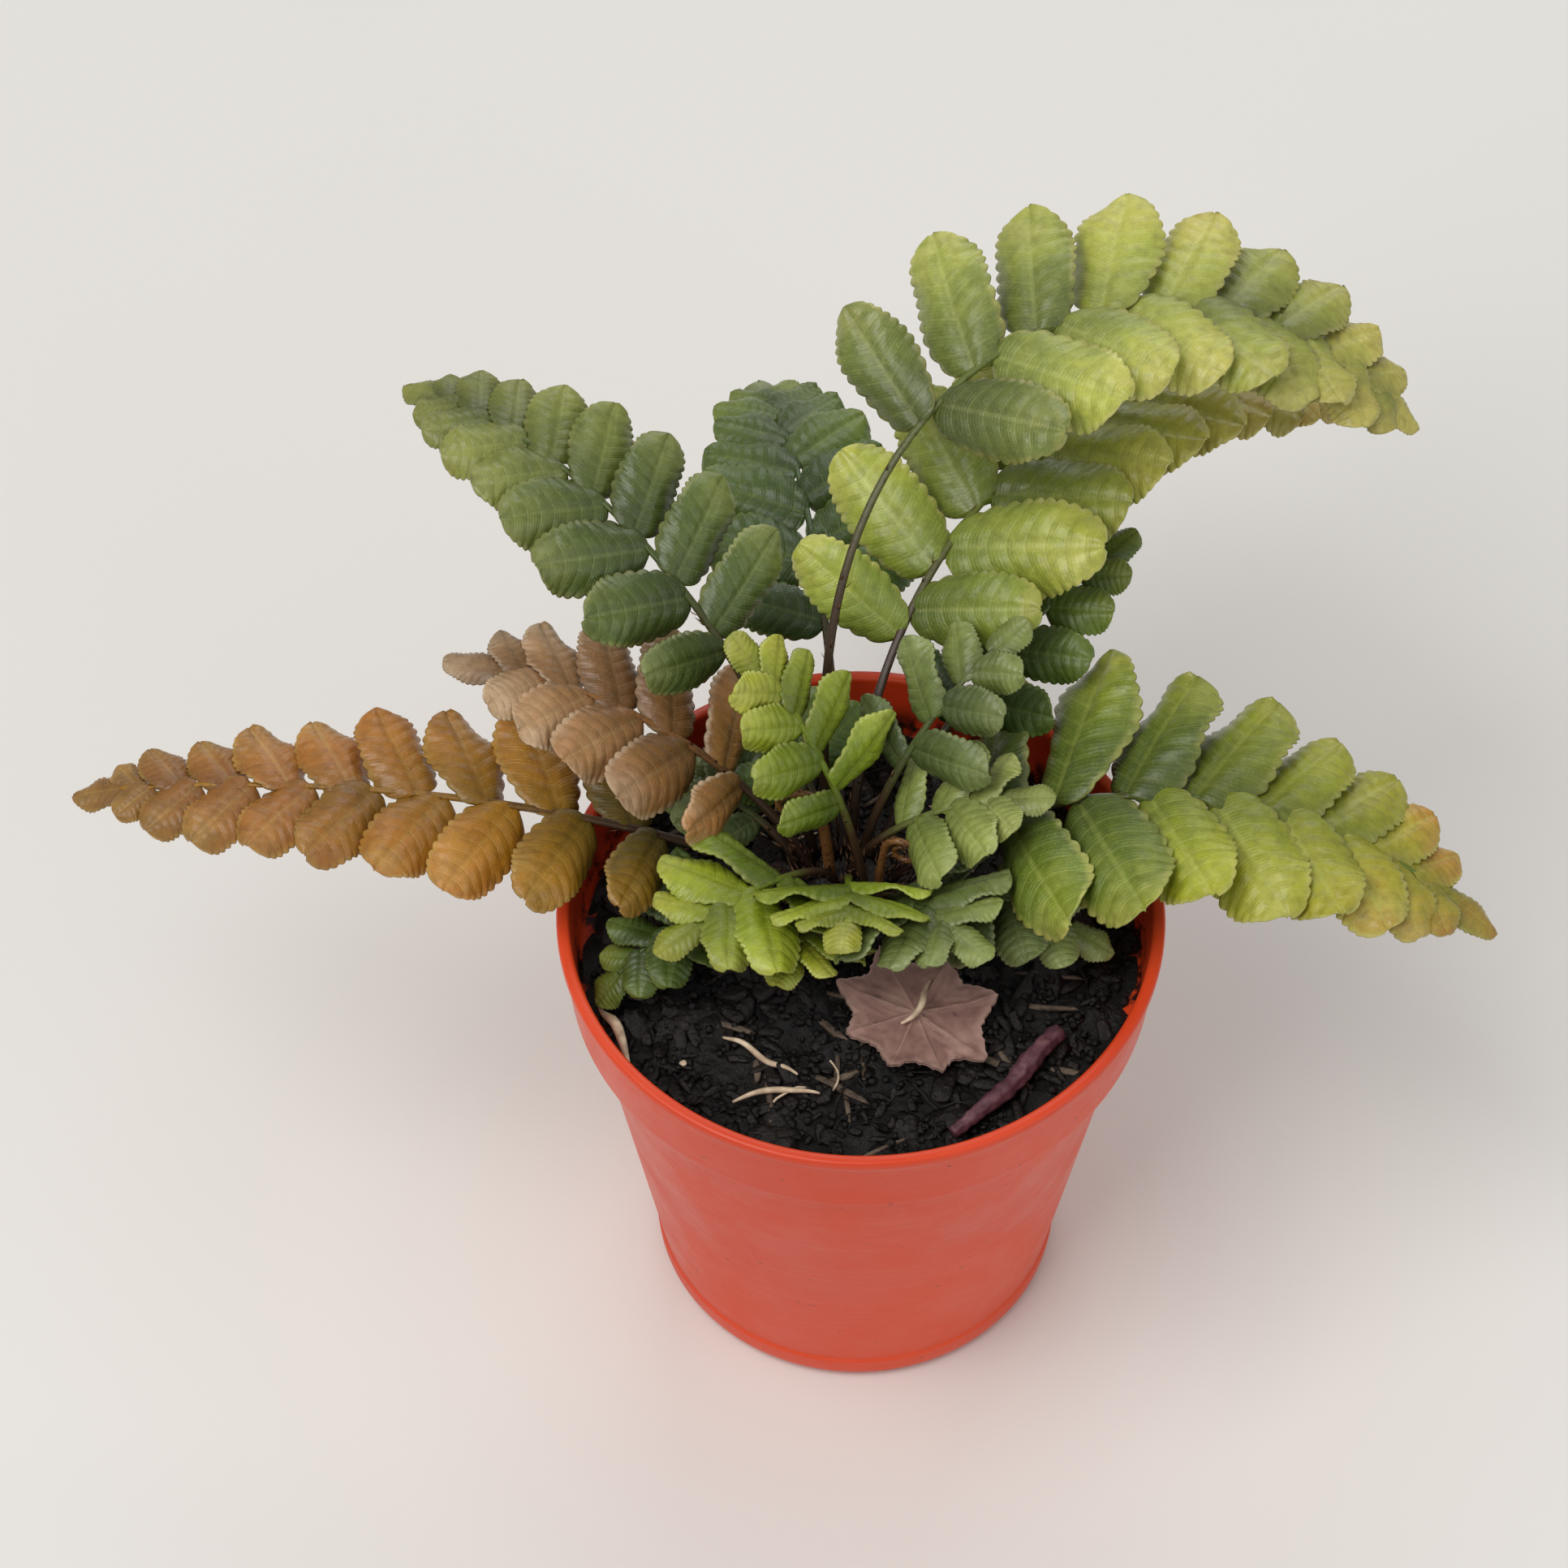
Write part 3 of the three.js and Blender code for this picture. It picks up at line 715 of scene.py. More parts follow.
def make_mix():
    """The plug of peat with its crumbly top, and everything that lies on it."""
    solid = Solid([PEAT, BARK, FIBRE, STRAW])
    profile = [
        (0, PLUG_FOOT), (BASE - WALL - 0.6, PLUG_FOOT),
        (RIM - 3.9, SHOULDER - 1.0), (MIX_EDGE, SHOULDER + 2.2),
    ]
    shares = np.linspace(1, 0, MIX_RINGS)
    profile += [(MIX_EDGE * share, MIX_TOP) for share in shares[:-1]] + [(0, MIX_TOP)]
    points, faces = lathe(profile, MIX_SIDES)
    for p in points:
        if p[2] > MIX_TOP - 0.01:
            calm = min(1.0, (MIX_EDGE - math.hypot(p[0], p[1])) / 1.5 + 0.3)
            p[2] = mix_height(p[0], p[1]) - 0.15 + crumbs(p[0], p[1]) * calm
    solid.add(points, faces, PEAT_SLOT)
    add_bark(solid)
    add_grains(solid)
    add_root_fibres(solid)
    add_rim_curl(solid)
    mount_piece(solid.build("potting_mix_surface"), "potting_mix")


def place_on_mix(margin):
    """A random place on the mix, at least a margin from its edge."""
    radius = (MIX_EDGE - margin) * math.sqrt(rng.random())
    angle = rng.random() * TURN
    return radius * math.cos(angle), radius * math.sin(angle)


def bit_of_litter(i):
    """Half the sizes and the material of a bit: a splinter, a pale crumb, or else a chip of bark."""
    if i % SPLINTER_EVERY == 0:
        size = [rng.uniform(3.0, 6.5), rng.uniform(0.35, 0.8), rng.uniform(0.3, 0.5)]
        return np.array(size) / 2, STRAW_SLOT
    if i % PALE_CRUMB_EVERY == 1:
        return np.full(3, rng.uniform(0.5, 0.9)) / 2, PALE_SLOT
    long = rng.uniform(0.9, 2.6) if i % LONG_CHIP_EVERY else rng.uniform(2.4, 5.0)
    size = [long, long * rng.uniform(0.25, 0.6), rng.uniform(0.3, 0.75)]
    return np.array(size) / 2, BARK_SLOT


def add_bark(solid):
    """Bark chips, splinters and a few pale crumbs that lie on the mix and in it."""
    shape, faces = pebble_shape(2)
    for i in range(CHIPS):
        size, kind = bit_of_litter(i)
        x, y = place_on_mix(size[0] + 0.2)
        points = shape * size * (1 + rng.normal(0, 0.12, (len(shape), 1)))
        turn = rng.random() * TURN
        tip = rng.normal(0, 0.12 if kind == STRAW_SLOT else 0.3)
        points[:, 2] += points[:, 0] * math.tan(tip)
        c, s = math.cos(turn), math.sin(turn)
        points[:, :2] = points[:, :2] @ np.array([[c, s], [-s, c]])
        points += (x, y, mix_height(x, y) + crumbs(x, y) * 0.6 + 0.05)
        solid.add(points, [faces], kind)


def add_grains(solid):
    """Loose grains of peat."""
    shape, faces = pebble_shape(1)
    for _ in range(GRAINS):
        x, y = place_on_mix(0.4)
        size = rng.uniform(0.12, 0.45)
        points = shape * size * (1 + rng.normal(0, 0.2, (len(shape), 3)))
        points += (x, y, mix_height(x, y) + crumbs(x, y) * 0.8 + size * 0.2)
        solid.add(points, [faces], PEAT_SLOT)


def add_root_fibres(solid):
    """Thin roots and fibres, most of them dark, that curl over the mix."""
    for i in range(THIN_ROOTS):
        x, y = place_on_mix(4.5)
        heading, bend = rng.random() * TURN, rng.normal(0, 0.5)
        reach = rng.uniform(2.0, 5.5)
        line = []
        for k in range(9):
            f = k / 8
            way = heading + bend * f
            here = (x + reach * (f - 0.5) * math.cos(way), y + reach * (f - 0.5) * math.sin(way))
            lift = 0.32 + 0.25 * math.sin(f * math.pi)
            line.append((*here, mix_height(*here) + crumbs(*here) * 0.6 + lift))
        pale = i % PALE_ROOT_EVERY == 0
        radius = rng.uniform(0.05, 0.12) * (1.2 if pale else 1)
        solid.add(*tube(line, radius, 5), PALE_SLOT if pale else BARK_SLOT)


def add_rim_curl(solid):
    """A tan curl of dry root that leans on the pot's wall at the left."""
    f = np.linspace(0, 1, 28)
    turn = np.radians(192 + 17 * f)
    reach = 24.5 - 0.5 * np.sin(math.pi * f)
    x, y = reach * np.cos(turn), reach * np.sin(turn)
    z = np.array([mix_height(*here) for here in zip(x, y)]) + 0.7 + 1.3 * np.sin(math.pi * f)
    radii = 0.5 * np.sin(math.pi * (0.08 + 0.84 * f))
    solid.add(*tube(np.stack([x, y, z], -1), radii, 8), PALE_SLOT)


make_mix()


# ---- Rhizome crown ----
CROWN_SCALES = 260


def make_crown():
    """A knobbly rhizome that is hidden by upward-pointing brown scales."""
    solid = Solid([BARK, SCALE])
    rows, sides = 40, 64
    lift = np.linspace(-1, 1, rows + 2)
    profile = [(math.sqrt(max(0.0, 1 - z * z)), z) for z in np.sin(lift * math.pi / 2)]
    profile[0], profile[-1] = (0, -1), (0, 1)
    points, faces = lathe(profile, sides)
    for k, p in enumerate(points):
        knob = 0.93 + 0.14 * noise.noise(Vector(p * 2.2)) + 0.05 * noise.noise(Vector(p * 6.0))
        points[k] = CROWN + p * CROWN_RADII * knob
    solid.add(points, faces, 0)
    for _ in range(CROWN_SCALES):
        turn, rise = rng.random() * TURN, rng.uniform(0.05, 1.0)
        flat = math.sqrt(1 - rise * rise)
        out = np.array([flat * math.cos(turn), flat * math.sin(turn), rise])
        root = CROWN + out * CROWN_RADII * 0.92
        along = unit(np.array([out[0], out[1], 0.5 + rise]) + rng.normal(0, 0.25, 3))
        solid.add(*flake(root, along, out, rng.uniform(1.0, 2.2), rng.uniform(0.3, 0.6)), 1)
    mount_piece(solid.build("rhizome_crown_scaly"), "rhizome_crown")


make_crown()


# ---- Fronds ----
# heading, sweep, rise, fall and fold are degrees; foot, length and pinna are millimetres.
# heading is the way the frond leaves the crown (0 right, 90 back) and sweep its turn from foot to tip.
# rise and fall are its slope at foot and tip, and bend below 1 arches early. bare is the share with
# no pinnae, and pinna is the length of the longest one.
COLUMNS = "heading sweep foot length rise fall bend bare fold pairs pinna look".split()
FRONDS = {
    "frond_back_right_gold": (78, -68, 3.2, 78, 84, -34, 0.62, 0.27, 24, 10, 15, "gold"),
    "frond_back_right_tall": (106, -136, 5.2, 96, 88, -44, 0.95, 0.46, 20, 9, 15, "tall"),
    "frond_right_olive": (4, -26, 4.8, 56, 54, -36, 0.8, 0.18, 12, 8, 16.5, "olive"),
    "frond_left_bronze": (174, -4, 5.0, 65, 32, -16, 0.8, 0.2, 10, 9, 12.5, "bronze"),
    "frond_back_left_rose": (150, 16, 4.0, 36, 62, 2, 0.8, 0.28, 14, 5, 12, "rose"),
    "frond_centre_lime": (122, 20, -3.0, 27, 82, 40, 0.8, 0.4, 12, 4, 9, "lime"),
    "frond_back_right_dark": (46, -8, 4.6, 36, 56, 6, 1.0, 0.4, 12, 4, 10, "green"),
    "frond_centre_left": (219, -7, 1.5, 18.4, 80, -9, 0.55, 0.4, 8, 3, 10.8, "lime"),
    "frond_front_centre": (270, -9, 1.7, 15, 89, 15, 0.55, 0.5, 8, 3, 9.5, "lime"),
    "frond_front_low": (246, -2, 4.9, 11.5, 73, 8, 0.8, 0.4, 8, 3, 8, "lime"),
    "frond_front_left": (198, 16, 5.4, 20, 50, -40, 0.8, 0.26, 10, 4, 8, "green"),
    "frond_right_low": (-22, -2, 4.8, 19, 56, -26, 0.7, 0.3, 8, 3, 9.5, "sage"),
    "frond_back_left_tall": (128, 10, 4.6, 62, 76, -20, 1.0, 0.36, 16, 8, 12, "dusk"),
    "frond_centre_pale": (3, -13, 0.5, 19, 83, 16, 0.5, 0.4, 8, 3, 9.5, "pale"),
    "frond_centre_right": (40, -10, 1.8, 26, 80, 30, 0.8, 0.44, 12, 3, 9, "sage"),
    "frond_back_low": (90, 10, 5.6, 58, 42, -36, 1.0, 0.36, 12, 7, 12, "green"),
    "frond_centre_front": (301, 8, 4.1, 16, 90, 7, 0.6, 0.4, 8, 3, 10.1, "sage"),
    "frond_centre_back": (113, 1, 3.2, 17, 72, -26, 0.8, 0.4, 10, 3, 9.1, "green"),
    "frond_left_low": (149, -5, 5.2, 14, 73, -6, 0.6, 0.4, 8, 3, 7.3, "sage"),
}
PATH_STEPS = 40
RACHIS_END = 0.97
RACHIS_ROWS, RACHIS_SIDES = 90, 12
RACHIS_RADIUS, RACHIS_TIP_RADIUS = 0.5, 0.2
LEAF_THICK = 0.16
# Half the size of the dome that the stalks leave: to the right, to the back and upwards.
DOME = (6.5, 5.2, 4.2)


def chance(a, b, c):
    """A repeatable number from 0 to 1 for three whole numbers."""
    wave = math.sin(a * 12.9898 + b * 78.233 + c * 37.719) * 43758.5453
    return wave - math.floor(wave)


def crown_point(heading, foot):
    """Where a stalk leaves the crown, or the mix where that is higher."""
    dx, dy = foot * math.cos(heading), foot * math.sin(heading)
    share = min(0.96, (dx / DOME[0]) ** 2 + (dy / DOME[1]) ** 2)
    top = CROWN[2] + DOME[2] * math.sqrt(1 - share)
    ground = mix_height(CROWN[0] + dx, CROWN[1] + dy)
    return np.array([CROWN[0] + dx, CROWN[1] + dy, max(top, ground) + 1])


class Path:
    """The line of a frond's rachis, with its directions at any share of its length."""

    def __init__(self, frond):
        self.frond = frond
        steps = (np.arange(PATH_STEPS) + 0.5) / PATH_STEPS
        strides = self.tangent(steps) * frond["length"] / PATH_STEPS
        start = crown_point(math.radians(frond["heading"]), frond["foot"])
        self.places = np.concatenate([start[None], start + np.cumsum(strides, 0)])

    def turn(self, share):
        """The heading at a share of the length, in radians."""
        return np.radians(self.frond["heading"] + self.frond["sweep"] * np.asarray(share, float))

    def tangent(self, share):
        f = self.frond
        slope = np.radians(lerp(f["rise"], f["fall"], np.asarray(share, float) ** f["bend"]))
        turn = self.turn(share)
        return np.stack([np.cos(slope) * np.cos(turn), np.cos(slope) * np.sin(turn), np.sin(slope)], -1)

    def at(self, share):
        """Place, tangent, left side and upward normal."""
        share = np.clip(share, 0, 1)
        grid = np.linspace(0, 1, PATH_STEPS + 1)
        place = np.stack([np.interp(share, grid, self.places[:, k]) for k in range(3)], -1)
        turn = self.turn(share)
        side = np.stack([-np.sin(turn), np.cos(turn), np.zeros_like(turn)], -1)
        tangent = self.tangent(share)
        return place, tangent, side, np.cross(tangent, side)


ROWS, COLS = 67, 15
MARGIN_TEETH = 11
TOOTH_DEPTH = 0.09
MEAN_TOOTH = 0.64
# The outline widens from the base and narrows to the tip as these powers of the share along it.
BASE_POWER, TIP_POWER = 0.27, 0.44


def pinna_outline(u):
    """The half width of a pinna at a share of its length, 1 at its widest."""
    whole = BASE_POWER + TIP_POWER
    peak = (BASE_POWER / whole) ** BASE_POWER * (TIP_POWER / whole) ** TIP_POWER
    return (u + 0.004) ** BASE_POWER * (1 - u + 0.002) ** TIP_POWER / peak


def pinna_sheet(length, width, droop, seed):
    """A toothed, puckered pinna along +X that faces +Z, and each point's shares along and across."""
    u = np.linspace(0, 1, ROWS)[:, None]
    v = np.linspace(-1, 1, COLS)[None, :]
    v = np.sign(v) * np.abs(v) ** 0.9
    wave = np.sin(math.pi * SIDE_VEINS * u) ** 2
    teeth = np.abs(np.sin(math.pi * MARGIN_TEETH * u))
    outline = pinna_outline(u)
    half = width / 2 * outline * (1 + TOOTH_DEPTH * (teeth - MEAN_TOOTH) * np.abs(v) ** 6)
    lean = 0.19 * np.abs(v) ** 1.1 * np.sin(math.pi * u) ** 0.8
    x = length * (u + lean * (1 - u) ** 0.5)
    y = half * v
    size = width / 6
    phase, wobble = chance(seed, 3, 1) * 6.28, 0.05 + 0.05 * chance(seed, 5, 2)
    pucker = 0.14 * size * wave * np.abs(v) ** 0.7 * (1 - np.abs(v) ** 3)
    groove = -0.2 * size * np.exp(-((v / 0.14) ** 2))
    camber = -0.2 * width * np.abs(v) ** 2.4 * outline
    ripple = wobble * width * np.sin(TURN * 1.4 * u + phase + np.sign(v)) * np.abs(v) ** 2
    sink = -droop * length * u**2
    z = pucker + groove + camber + ripple + sink
    points = np.stack([x + 0 * v, y, z], -1)
    tint = np.stack([u + 0 * v, (v + 1) / 2 + 0 * u], -1)
    return points, tint


# Spread of the pinnae from the rachis in degrees, and their widest shape, each at the foot and tip.
SPREAD = (72, 46)
WIDTH_SHARE = (0.56, 0.86)
# Pinnae are this many times as wide as they are apart, so that they overlap like shingles.
SHINGLING = 2.1
FLAT_FOLD = 4
SHORTEST_PINNA = 3.0
# The end pinna's place, its length as a share of the longest one's, and its width.
END_AT, END_LENGTH, END_WIDTH = 0.95, 0.48, 3.4


def pinnae_of(frond, index):
    """Each pinna's place, side, spread, length, width and lift: pairs, and one at the frond's end."""
    pinnae = []
    bare, pairs, length = frond["bare"], frond["pairs"], frond["length"]
    blade = 1 - bare

    def share_at(step):
        return bare + blade * (1 - (1 - step / (pairs + 0.6)) ** 1.3)

    for i in range(pairs):
        for hand in (1, -1):
            step = i + (0 if hand > 0 else 0.35)
            at = share_at(step)
            t = (at - bare) / blade
            pitch = (share_at(step + 1) - at) * length
            spread = math.radians(lerp(*SPREAD, t))
            grown = min(1, 0.8 + 1.4 * t) * (1 - t) ** 0.45
            long = max(SHORTEST_PINNA, frond["pinna"] * grown * (0.94 + 0.12 * chance(index, i, hand + 2)))
            wide = min(SHINGLING * pitch * math.sin(spread), long * lerp(*WIDTH_SHARE, t))
            tilt = 8 * (chance(index, i, hand + 7) - 0.5)
            lift = math.radians(lerp(frond["fold"], FLAT_FOLD, t) + tilt)
            pinnae.append((at, hand, spread, long, wide, lift))
    pinnae.append((END_AT, 1, 0.0, frond["pinna"] * END_LENGTH, END_WIDTH, 0.0))
    return pinnae


def add_pinna(solid, path, pinna, seed):
    """Puts a pinna on the rachis, spread to its side, lifted, twisted and drooping a little."""
    at, hand, spread, length, width, lift = pinna
    place, tangent, side, normal = path.at(at)
    away = side * hand
    along = tangent * math.cos(spread) + away * math.sin(spread)
    across = np.cross(normal, along)
    along = along * math.cos(lift) + normal * math.sin(lift)
    face = np.cross(along, across)
    twist = -hand * math.radians(15 + 12 * (chance(seed, 1, 9) - 0.5)) if spread else 0.0
    c, s = math.cos(twist), math.sin(twist)
    across, face = across * c + face * s, face * c - across * s
    droop = 0.1 + 0.06 * (chance(seed, 2, 4) - 0.3)
    local, tint = pinna_sheet(length * 1.04, width, droop, seed)
    top = place + normal * 0.1 + local @ np.stack([along, across, face])
    points, faces = sheet(top, LEAF_THICK, -face)
    flat = tint.reshape(-1, 2)
    rest = np.tile([at, chance(seed, 8, 8)], (len(flat), 1))
    solid.add(points, faces, 0, np.tile(np.concatenate([flat, rest], 1), (2, 1)))


def add_rachis(solid, path):
    """The grooved stalk, which starts a little inside the crown."""
    shares = np.linspace(-0.02, RACHIS_END, RACHIS_ROWS)
    place, tangent, _, normal = path.at(shares)
    place[0] = place[1] - tangent[1] * 1.2
    shares = np.clip(shares, 0, 1)
    radii = lerp(RACHIS_RADIUS, RACHIS_TIP_RADIUS, shares**0.8)
    points, faces = tube(place, radii, RACHIS_SIDES, normal, 0.3)
    tint = np.zeros((len(points), 4))
    tint[:, 2] = np.concatenate([np.repeat(shares, RACHIS_SIDES), [0, 1]])
    tint[:, 3] = 0.5
    solid.add(points, faces, 1, tint)


def add_stipe_scales(solid, path):
    """Brown scales, most of them near the foot of the stalk."""
    for _ in range(int(10 + path.frond["length"] * 0.35)):
        share = 0.45 * rng.random() ** 2.2
        place, tangent, side, normal = path.at(share)
        turn = rng.random() * TURN
        out = side * math.cos(turn) + normal * math.sin(turn)
        aim = unit(tangent + out * rng.uniform(0.15, 0.6))
        length, width = rng.uniform(0.7, 1.6) * (1 - share), rng.uniform(0.18, 0.34)
        solid.add(*flake(place + out * 0.4, aim, out, length, width), 2)


def make_frond(index, node, frond):
    """One frond: its pinnae, its rachis and the scales at its foot."""
    path = Path(frond)
    look = frond["look"]
    solid = Solid([LEAF[look], STALKS[look], SCALE])
    for k, pinna in enumerate(pinnae_of(frond, index)):
        add_pinna(solid, path, pinna, index * 100 + k)
    add_rachis(solid, path)
    add_stipe_scales(solid, path)
    mount_piece(solid.build("fern_" + node), node)


for index, (node, row) in enumerate(FRONDS.items()):
    make_frond(index, node, dict(zip(COLUMNS, row)))


# ---- Croziers ----
# heading in degrees, then foot, height and the coil's radius in millimetres.
CROZIERS = {"crozier_01": (170, 1.4, 9, 2.1), "crozier_02": (338, 3.0, 5.5, 1.7)}
COIL_SHRINK = 0.62
COIL_TURN = 2.5 * math.pi
STEM_ROWS, COIL_ROWS = 16, 60
CROZIER_SCALES = 150


def make_crozier(node, heading, foot, height, coil):
    """A young frond, coiled at its head and clothed in brown scales."""
    heading = math.radians(heading)
    start = crown_point(heading, foot)
    out = np.array([math.cos(heading), math.sin(heading), 0])
    top = start + out * height * 0.12 + (0, 0, height)
    line = [lerp(start, top, f) - (0, 0, 1.2 * (1 - f) ** 6) for f in np.linspace(0, 0.94, STEM_ROWS)]
    for f in np.linspace(0, 1, COIL_ROWS):
        angle, radius = f * COIL_TURN, coil * (1 - COIL_SHRINK * f)
        line.append(top + out * (coil - radius * math.cos(angle)) + (0, 0, radius * math.sin(angle)))
    line = np.array(line)
    radii = coil * np.interp(np.arange(len(line)), [0, STEM_ROWS, len(line)], [0.26, 0.22, 0.1])
    side = np.cross(out, (0, 0, 1))
    # The crozier has no share along a frond, so it takes the stalk's darkened middle colour, which is
    # painted shade.
    solid = Solid([STALKS["rose"], SCALE])
    solid.add(*tube(line, radii, 12, side), 0)
    ahead = unit(np.gradient(line, axis=0))
    for _ in range(CROZIER_SCALES):
        k = int(rng.integers(0, len(line)))
        turn = rng.random() * TURN
        lift = np.cross(ahead[k], side)
        away = side * math.cos(turn) + lift * math.sin(turn)
        aim = unit(ahead[k] + away * rng.uniform(0.1, 0.5))
        root = line[k] + away * radii[k] * 0.8
        solid.add(*flake(root, aim, away, rng.uniform(0.5, 1.1), rng.uniform(0.14, 0.28)), 1)
    mount_piece(solid.build("fern_" + node), node)


for node, row in CROZIERS.items():
    make_crozier(node, *row)


# ---- Litter ----
# The points of the fallen leaf's lobes: angle in degrees and distance from the middle.
DEAD_LOBES = ((6, 7.6), (58, 6.4), (113, 7.4), (156, 7.8), (198, 6.8), (248, 7.1), (285, 7.4), (316, 8.4))
DEAD_CENTRE = np.array([4.5, -8.0])
DEAD_THICK = 0.2
DEAD_RINGS, DEAD_SIDES = 24, 192
# The outline between two lobes falls to this share of their length.
DEAD_NOTCH = 0.77


def lobed_outline(turn):
    """The fallen leaf's outline at each angle, and how near that is to a lobe's line, from 0 to 1."""
    angles = np.radians([a for a, _ in DEAD_LOBES])
    order = np.searchsorted(angles, turn, side="right")
    before, after = (order - 1) % len(angles), order % len(angles)
    gap = (angles[after] - angles[before]) % TURN
    share = ((turn - angles[before]) % TURN) / gap
    reaches = np.array([r for _, r in DEAD_LOBES])
    lobe = np.abs(2 * share - 1)
    tips = reaches[before] * (1 - share) + reaches[after] * share
    outline = tips * (DEAD_NOTCH + (1 - DEAD_NOTCH) * lobe**1.5)
    outline *= 1 + 0.012 * np.sin(turn * 43) + 0.01 * np.sin(turn * 71 + 1)
    return outline, lobe


def make_dead_leaf():
    """A fallen leaf whose pointed lobes curl up a little, with a pale fibre over it."""
    low, _ = box_mm("dead_leaf")
    rings, sides = DEAD_RINGS, DEAD_SIDES
    turn = np.arange(sides) / sides * TURN
    outline, lobe = lobed_outline(turn)
    out = np.linspace(0.02, 1, rings)[:, None]
    x, y = DEAD_CENTRE[0] + outline * out * np.cos(turn), DEAD_CENTRE[1] + outline * out * np.sin(turn)
    curl = out**3 * (0.25 + 0.75 * lobe) * (0.2 + 1.1 * np.sin(turn * 1.5 + 0.8) ** 2)
    curl = curl + 0.3 * out**2 * np.sin(turn * 3 + 2)
    veins = 0.16 * np.exp(-(((1 - lobe) * out / 0.1) ** 2))
    wrinkle = 0.12 * np.sin(out * 19 + 3 * np.sin(turn * 4)) * np.sin(turn * 11 + out * 5) * out
    z = np.maximum(low[2] + 0.2, mix_height(x, y) + 0.35) + curl + veins + wrinkle
    top = np.stack([x, y, z], -1).reshape(-1, 3)
    count = rings * sides
    middle = np.array([*DEAD_CENTRE, z[0].mean()])
    down = (0, 0, DEAD_THICK)
    points = np.concatenate([top, top - down, [middle], [middle - down]])
    upper = grid_quads(rings, sides, True)
    here = np.arange(sides)
    rim, after = here + count - sides, np.roll(here, -1) + count - sides
    wall = np.stack([after, rim, rim + count, after + count], 1)
    cap, under = fan(2 * count, here, flip=True), fan(2 * count + 1, here + count)
    solid = Solid([DEAD_LEAF, FIBRE])
    tint = np.full((2 * count + 2, 4), 0.5)
    tint[: 2 * count, 0] = np.tile(np.repeat(out.ravel(), sides), 2)
    tint[: 2 * count, 1] = np.tile(np.exp(-(((1 - lobe) * out / 0.08) ** 2)).ravel(), 2)
    solid.add(points, [upper, upper[:, ::-1] + count, wall[:, ::-1], cap, under], 0, tint)
    add_bow(solid, middle)
    mount_piece(solid.build("fallen_leaf"), "dead_leaf")


def add_bow(solid, middle):
    """A pale fibre that bows over the middle of the fallen leaf."""
    f = np.linspace(0, 1, 30)
    x = middle[0] + 0.3 + 3.4 * (f - 0.5) + 0.5 * np.sin(f * 5)
    y = middle[1] + 0.8 + 4.6 * (f - 0.5) - 0.7 * np.sin(f * 3.1)
    z = middle[2] + 0.45 + 0.9 * np.sin(f * 3.1) ** 2
    solid.add(*tube(np.stack([x, y, z], -1), 0.25 * np.sin(f * 2.7 + 0.25) + 0.06, 8), 1)


def make_dead_stalk():
    """A ridged piece of dry stalk between two opposite corners of its CAD solid's box."""
    low, high = box_mm("dead_stalk")
    radius, inset = 0.95, 0.6
    start, end = np.array([*(low[:2] + inset), 0]), np.array([*(high[:2] - inset), 0])
    solid = Solid([DEAD_STALK])
    f = np.linspace(0, 1, 60)
    line = lerp(start, end, f[:, None])
    line[:, 2] = [mix_height(x, y) + radius + 0.35 for x, y, _ in line]
    line[:, :2] += np.stack([0.35 * np.sin(f * 4), -0.25 * np.sin(f * 5)], 1)
    radii = radius * (0.58 + 0.4 * np.sin(f * 2.4)) * (1 + 0.05 * np.sin(f * 21) + 0.04 * np.sin(f * 47))
    points, faces = tube(line, radii, 24, ridge=0.07)
    for p in points:
        p += 0.16 * noise.noise_vector(Vector(p * 1.6))
    solid.add(points, faces)
    mount_piece(solid.build("dry_stalk"), "dead_stalk")


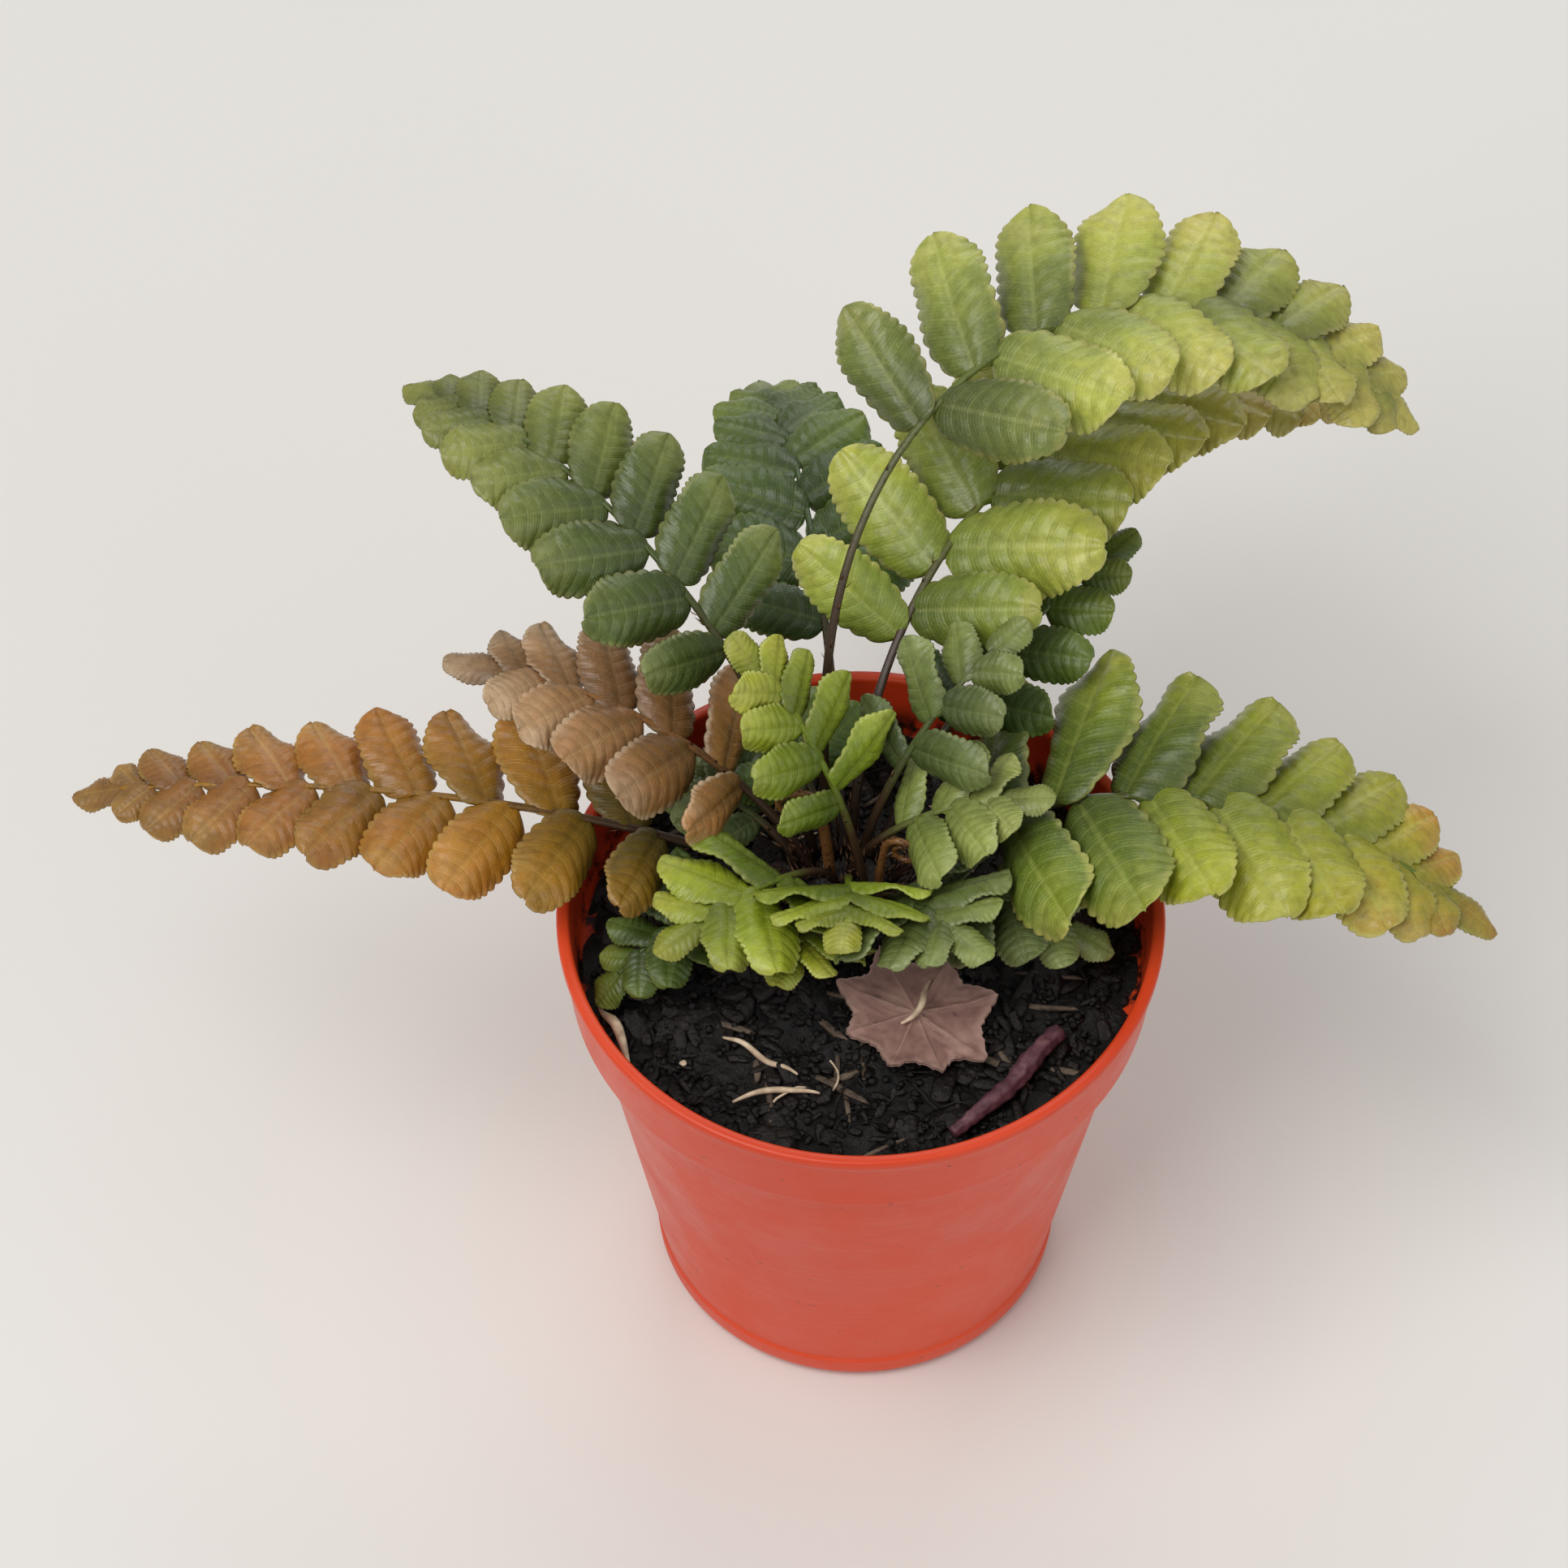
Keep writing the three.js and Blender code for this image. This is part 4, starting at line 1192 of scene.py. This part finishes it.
def make_fibre(node, falling):
    """A pale root fibre across its CAD solid's box, falling from corner to corner or bowed."""
    low, high = box_mm(node)
    f = np.linspace(0, 1, 30)
    if falling:
        y = lerp(high[1], low[1], f)
    else:
        y = low[1] + 0.3 + (high[1] - low[1] - 0.6) * np.sin(f * 3.1)
    x = low[0] + 0.2 + (high[0] - low[0] - 0.4) * f
    z = [mix_height(a, b) + 0.75 + 0.15 * math.sin(9 * c) for a, b, c in zip(x, y, f)]
    solid = Solid([FIBRE])
    solid.add(*tube(np.stack([x, y, z], -1), 0.1 + 0.2 * np.sin(f * 3.0 + 0.1), 8))
    mount_piece(solid.build("root_" + node), node)


make_dead_leaf()
make_dead_stalk()
make_fibre("pale_fibre_01", True)
make_fibre("pale_fibre_02", False)


# ---- Studio ----
LIGHTS_AIM = Vector((0, 0, 0.05))
FLOOR_HALF = 3.0
FLOOR_GAP = 0.0001
WORLD_GREY = 0.93
WORLD_STRENGTH = 0.38


def area_light(name, place, size, energy, colour=(1, 1, 1)):
    """A square lamp that shines on the middle of the object."""
    data = bpy.data.lights.new(name, "AREA")
    data.size, data.energy, data.color = size, energy, colour
    put(name, data, place, LIGHTS_AIM - Vector(place))


def make_studio():
    """The floor, three lamps and a dim grey world."""
    mesh = bpy.data.meshes.new("floor")
    ground = float(CAD_LOW[2]) - FLOOR_GAP
    corners = [(x * FLOOR_HALF, y * FLOOR_HALF, ground) for x, y in ((-1, -1), (1, -1), (1, 1), (-1, 1))]
    mesh.from_pydata(corners, [], [(0, 1, 2, 3)])
    mesh.materials.append(floor_material())
    floor = bpy.data.objects.new("floor", mesh)
    bpy.context.collection.objects.link(floor)
    area_light("key", (-0.35, -0.25, 0.8), 0.55, 4.6, (1.0, 0.98, 0.95))
    area_light("fill", (0.7, -0.5, 0.5), 0.8, 1.8, (0.95, 0.98, 1.0))
    area_light("back", (0.15, 0.75, 0.6), 0.6, 2.4)
    world = bpy.data.worlds.new("studio")
    world.use_nodes = True
    background = world.node_tree.nodes["Background"]
    background.inputs["Color"].default_value = (WORLD_GREY, WORLD_GREY, WORLD_GREY, 1)
    background.inputs["Strength"].default_value = WORLD_STRENGTH
    bpy.context.scene.world = world
    bpy.context.scene.view_settings.view_transform = "Standard"


make_studio()
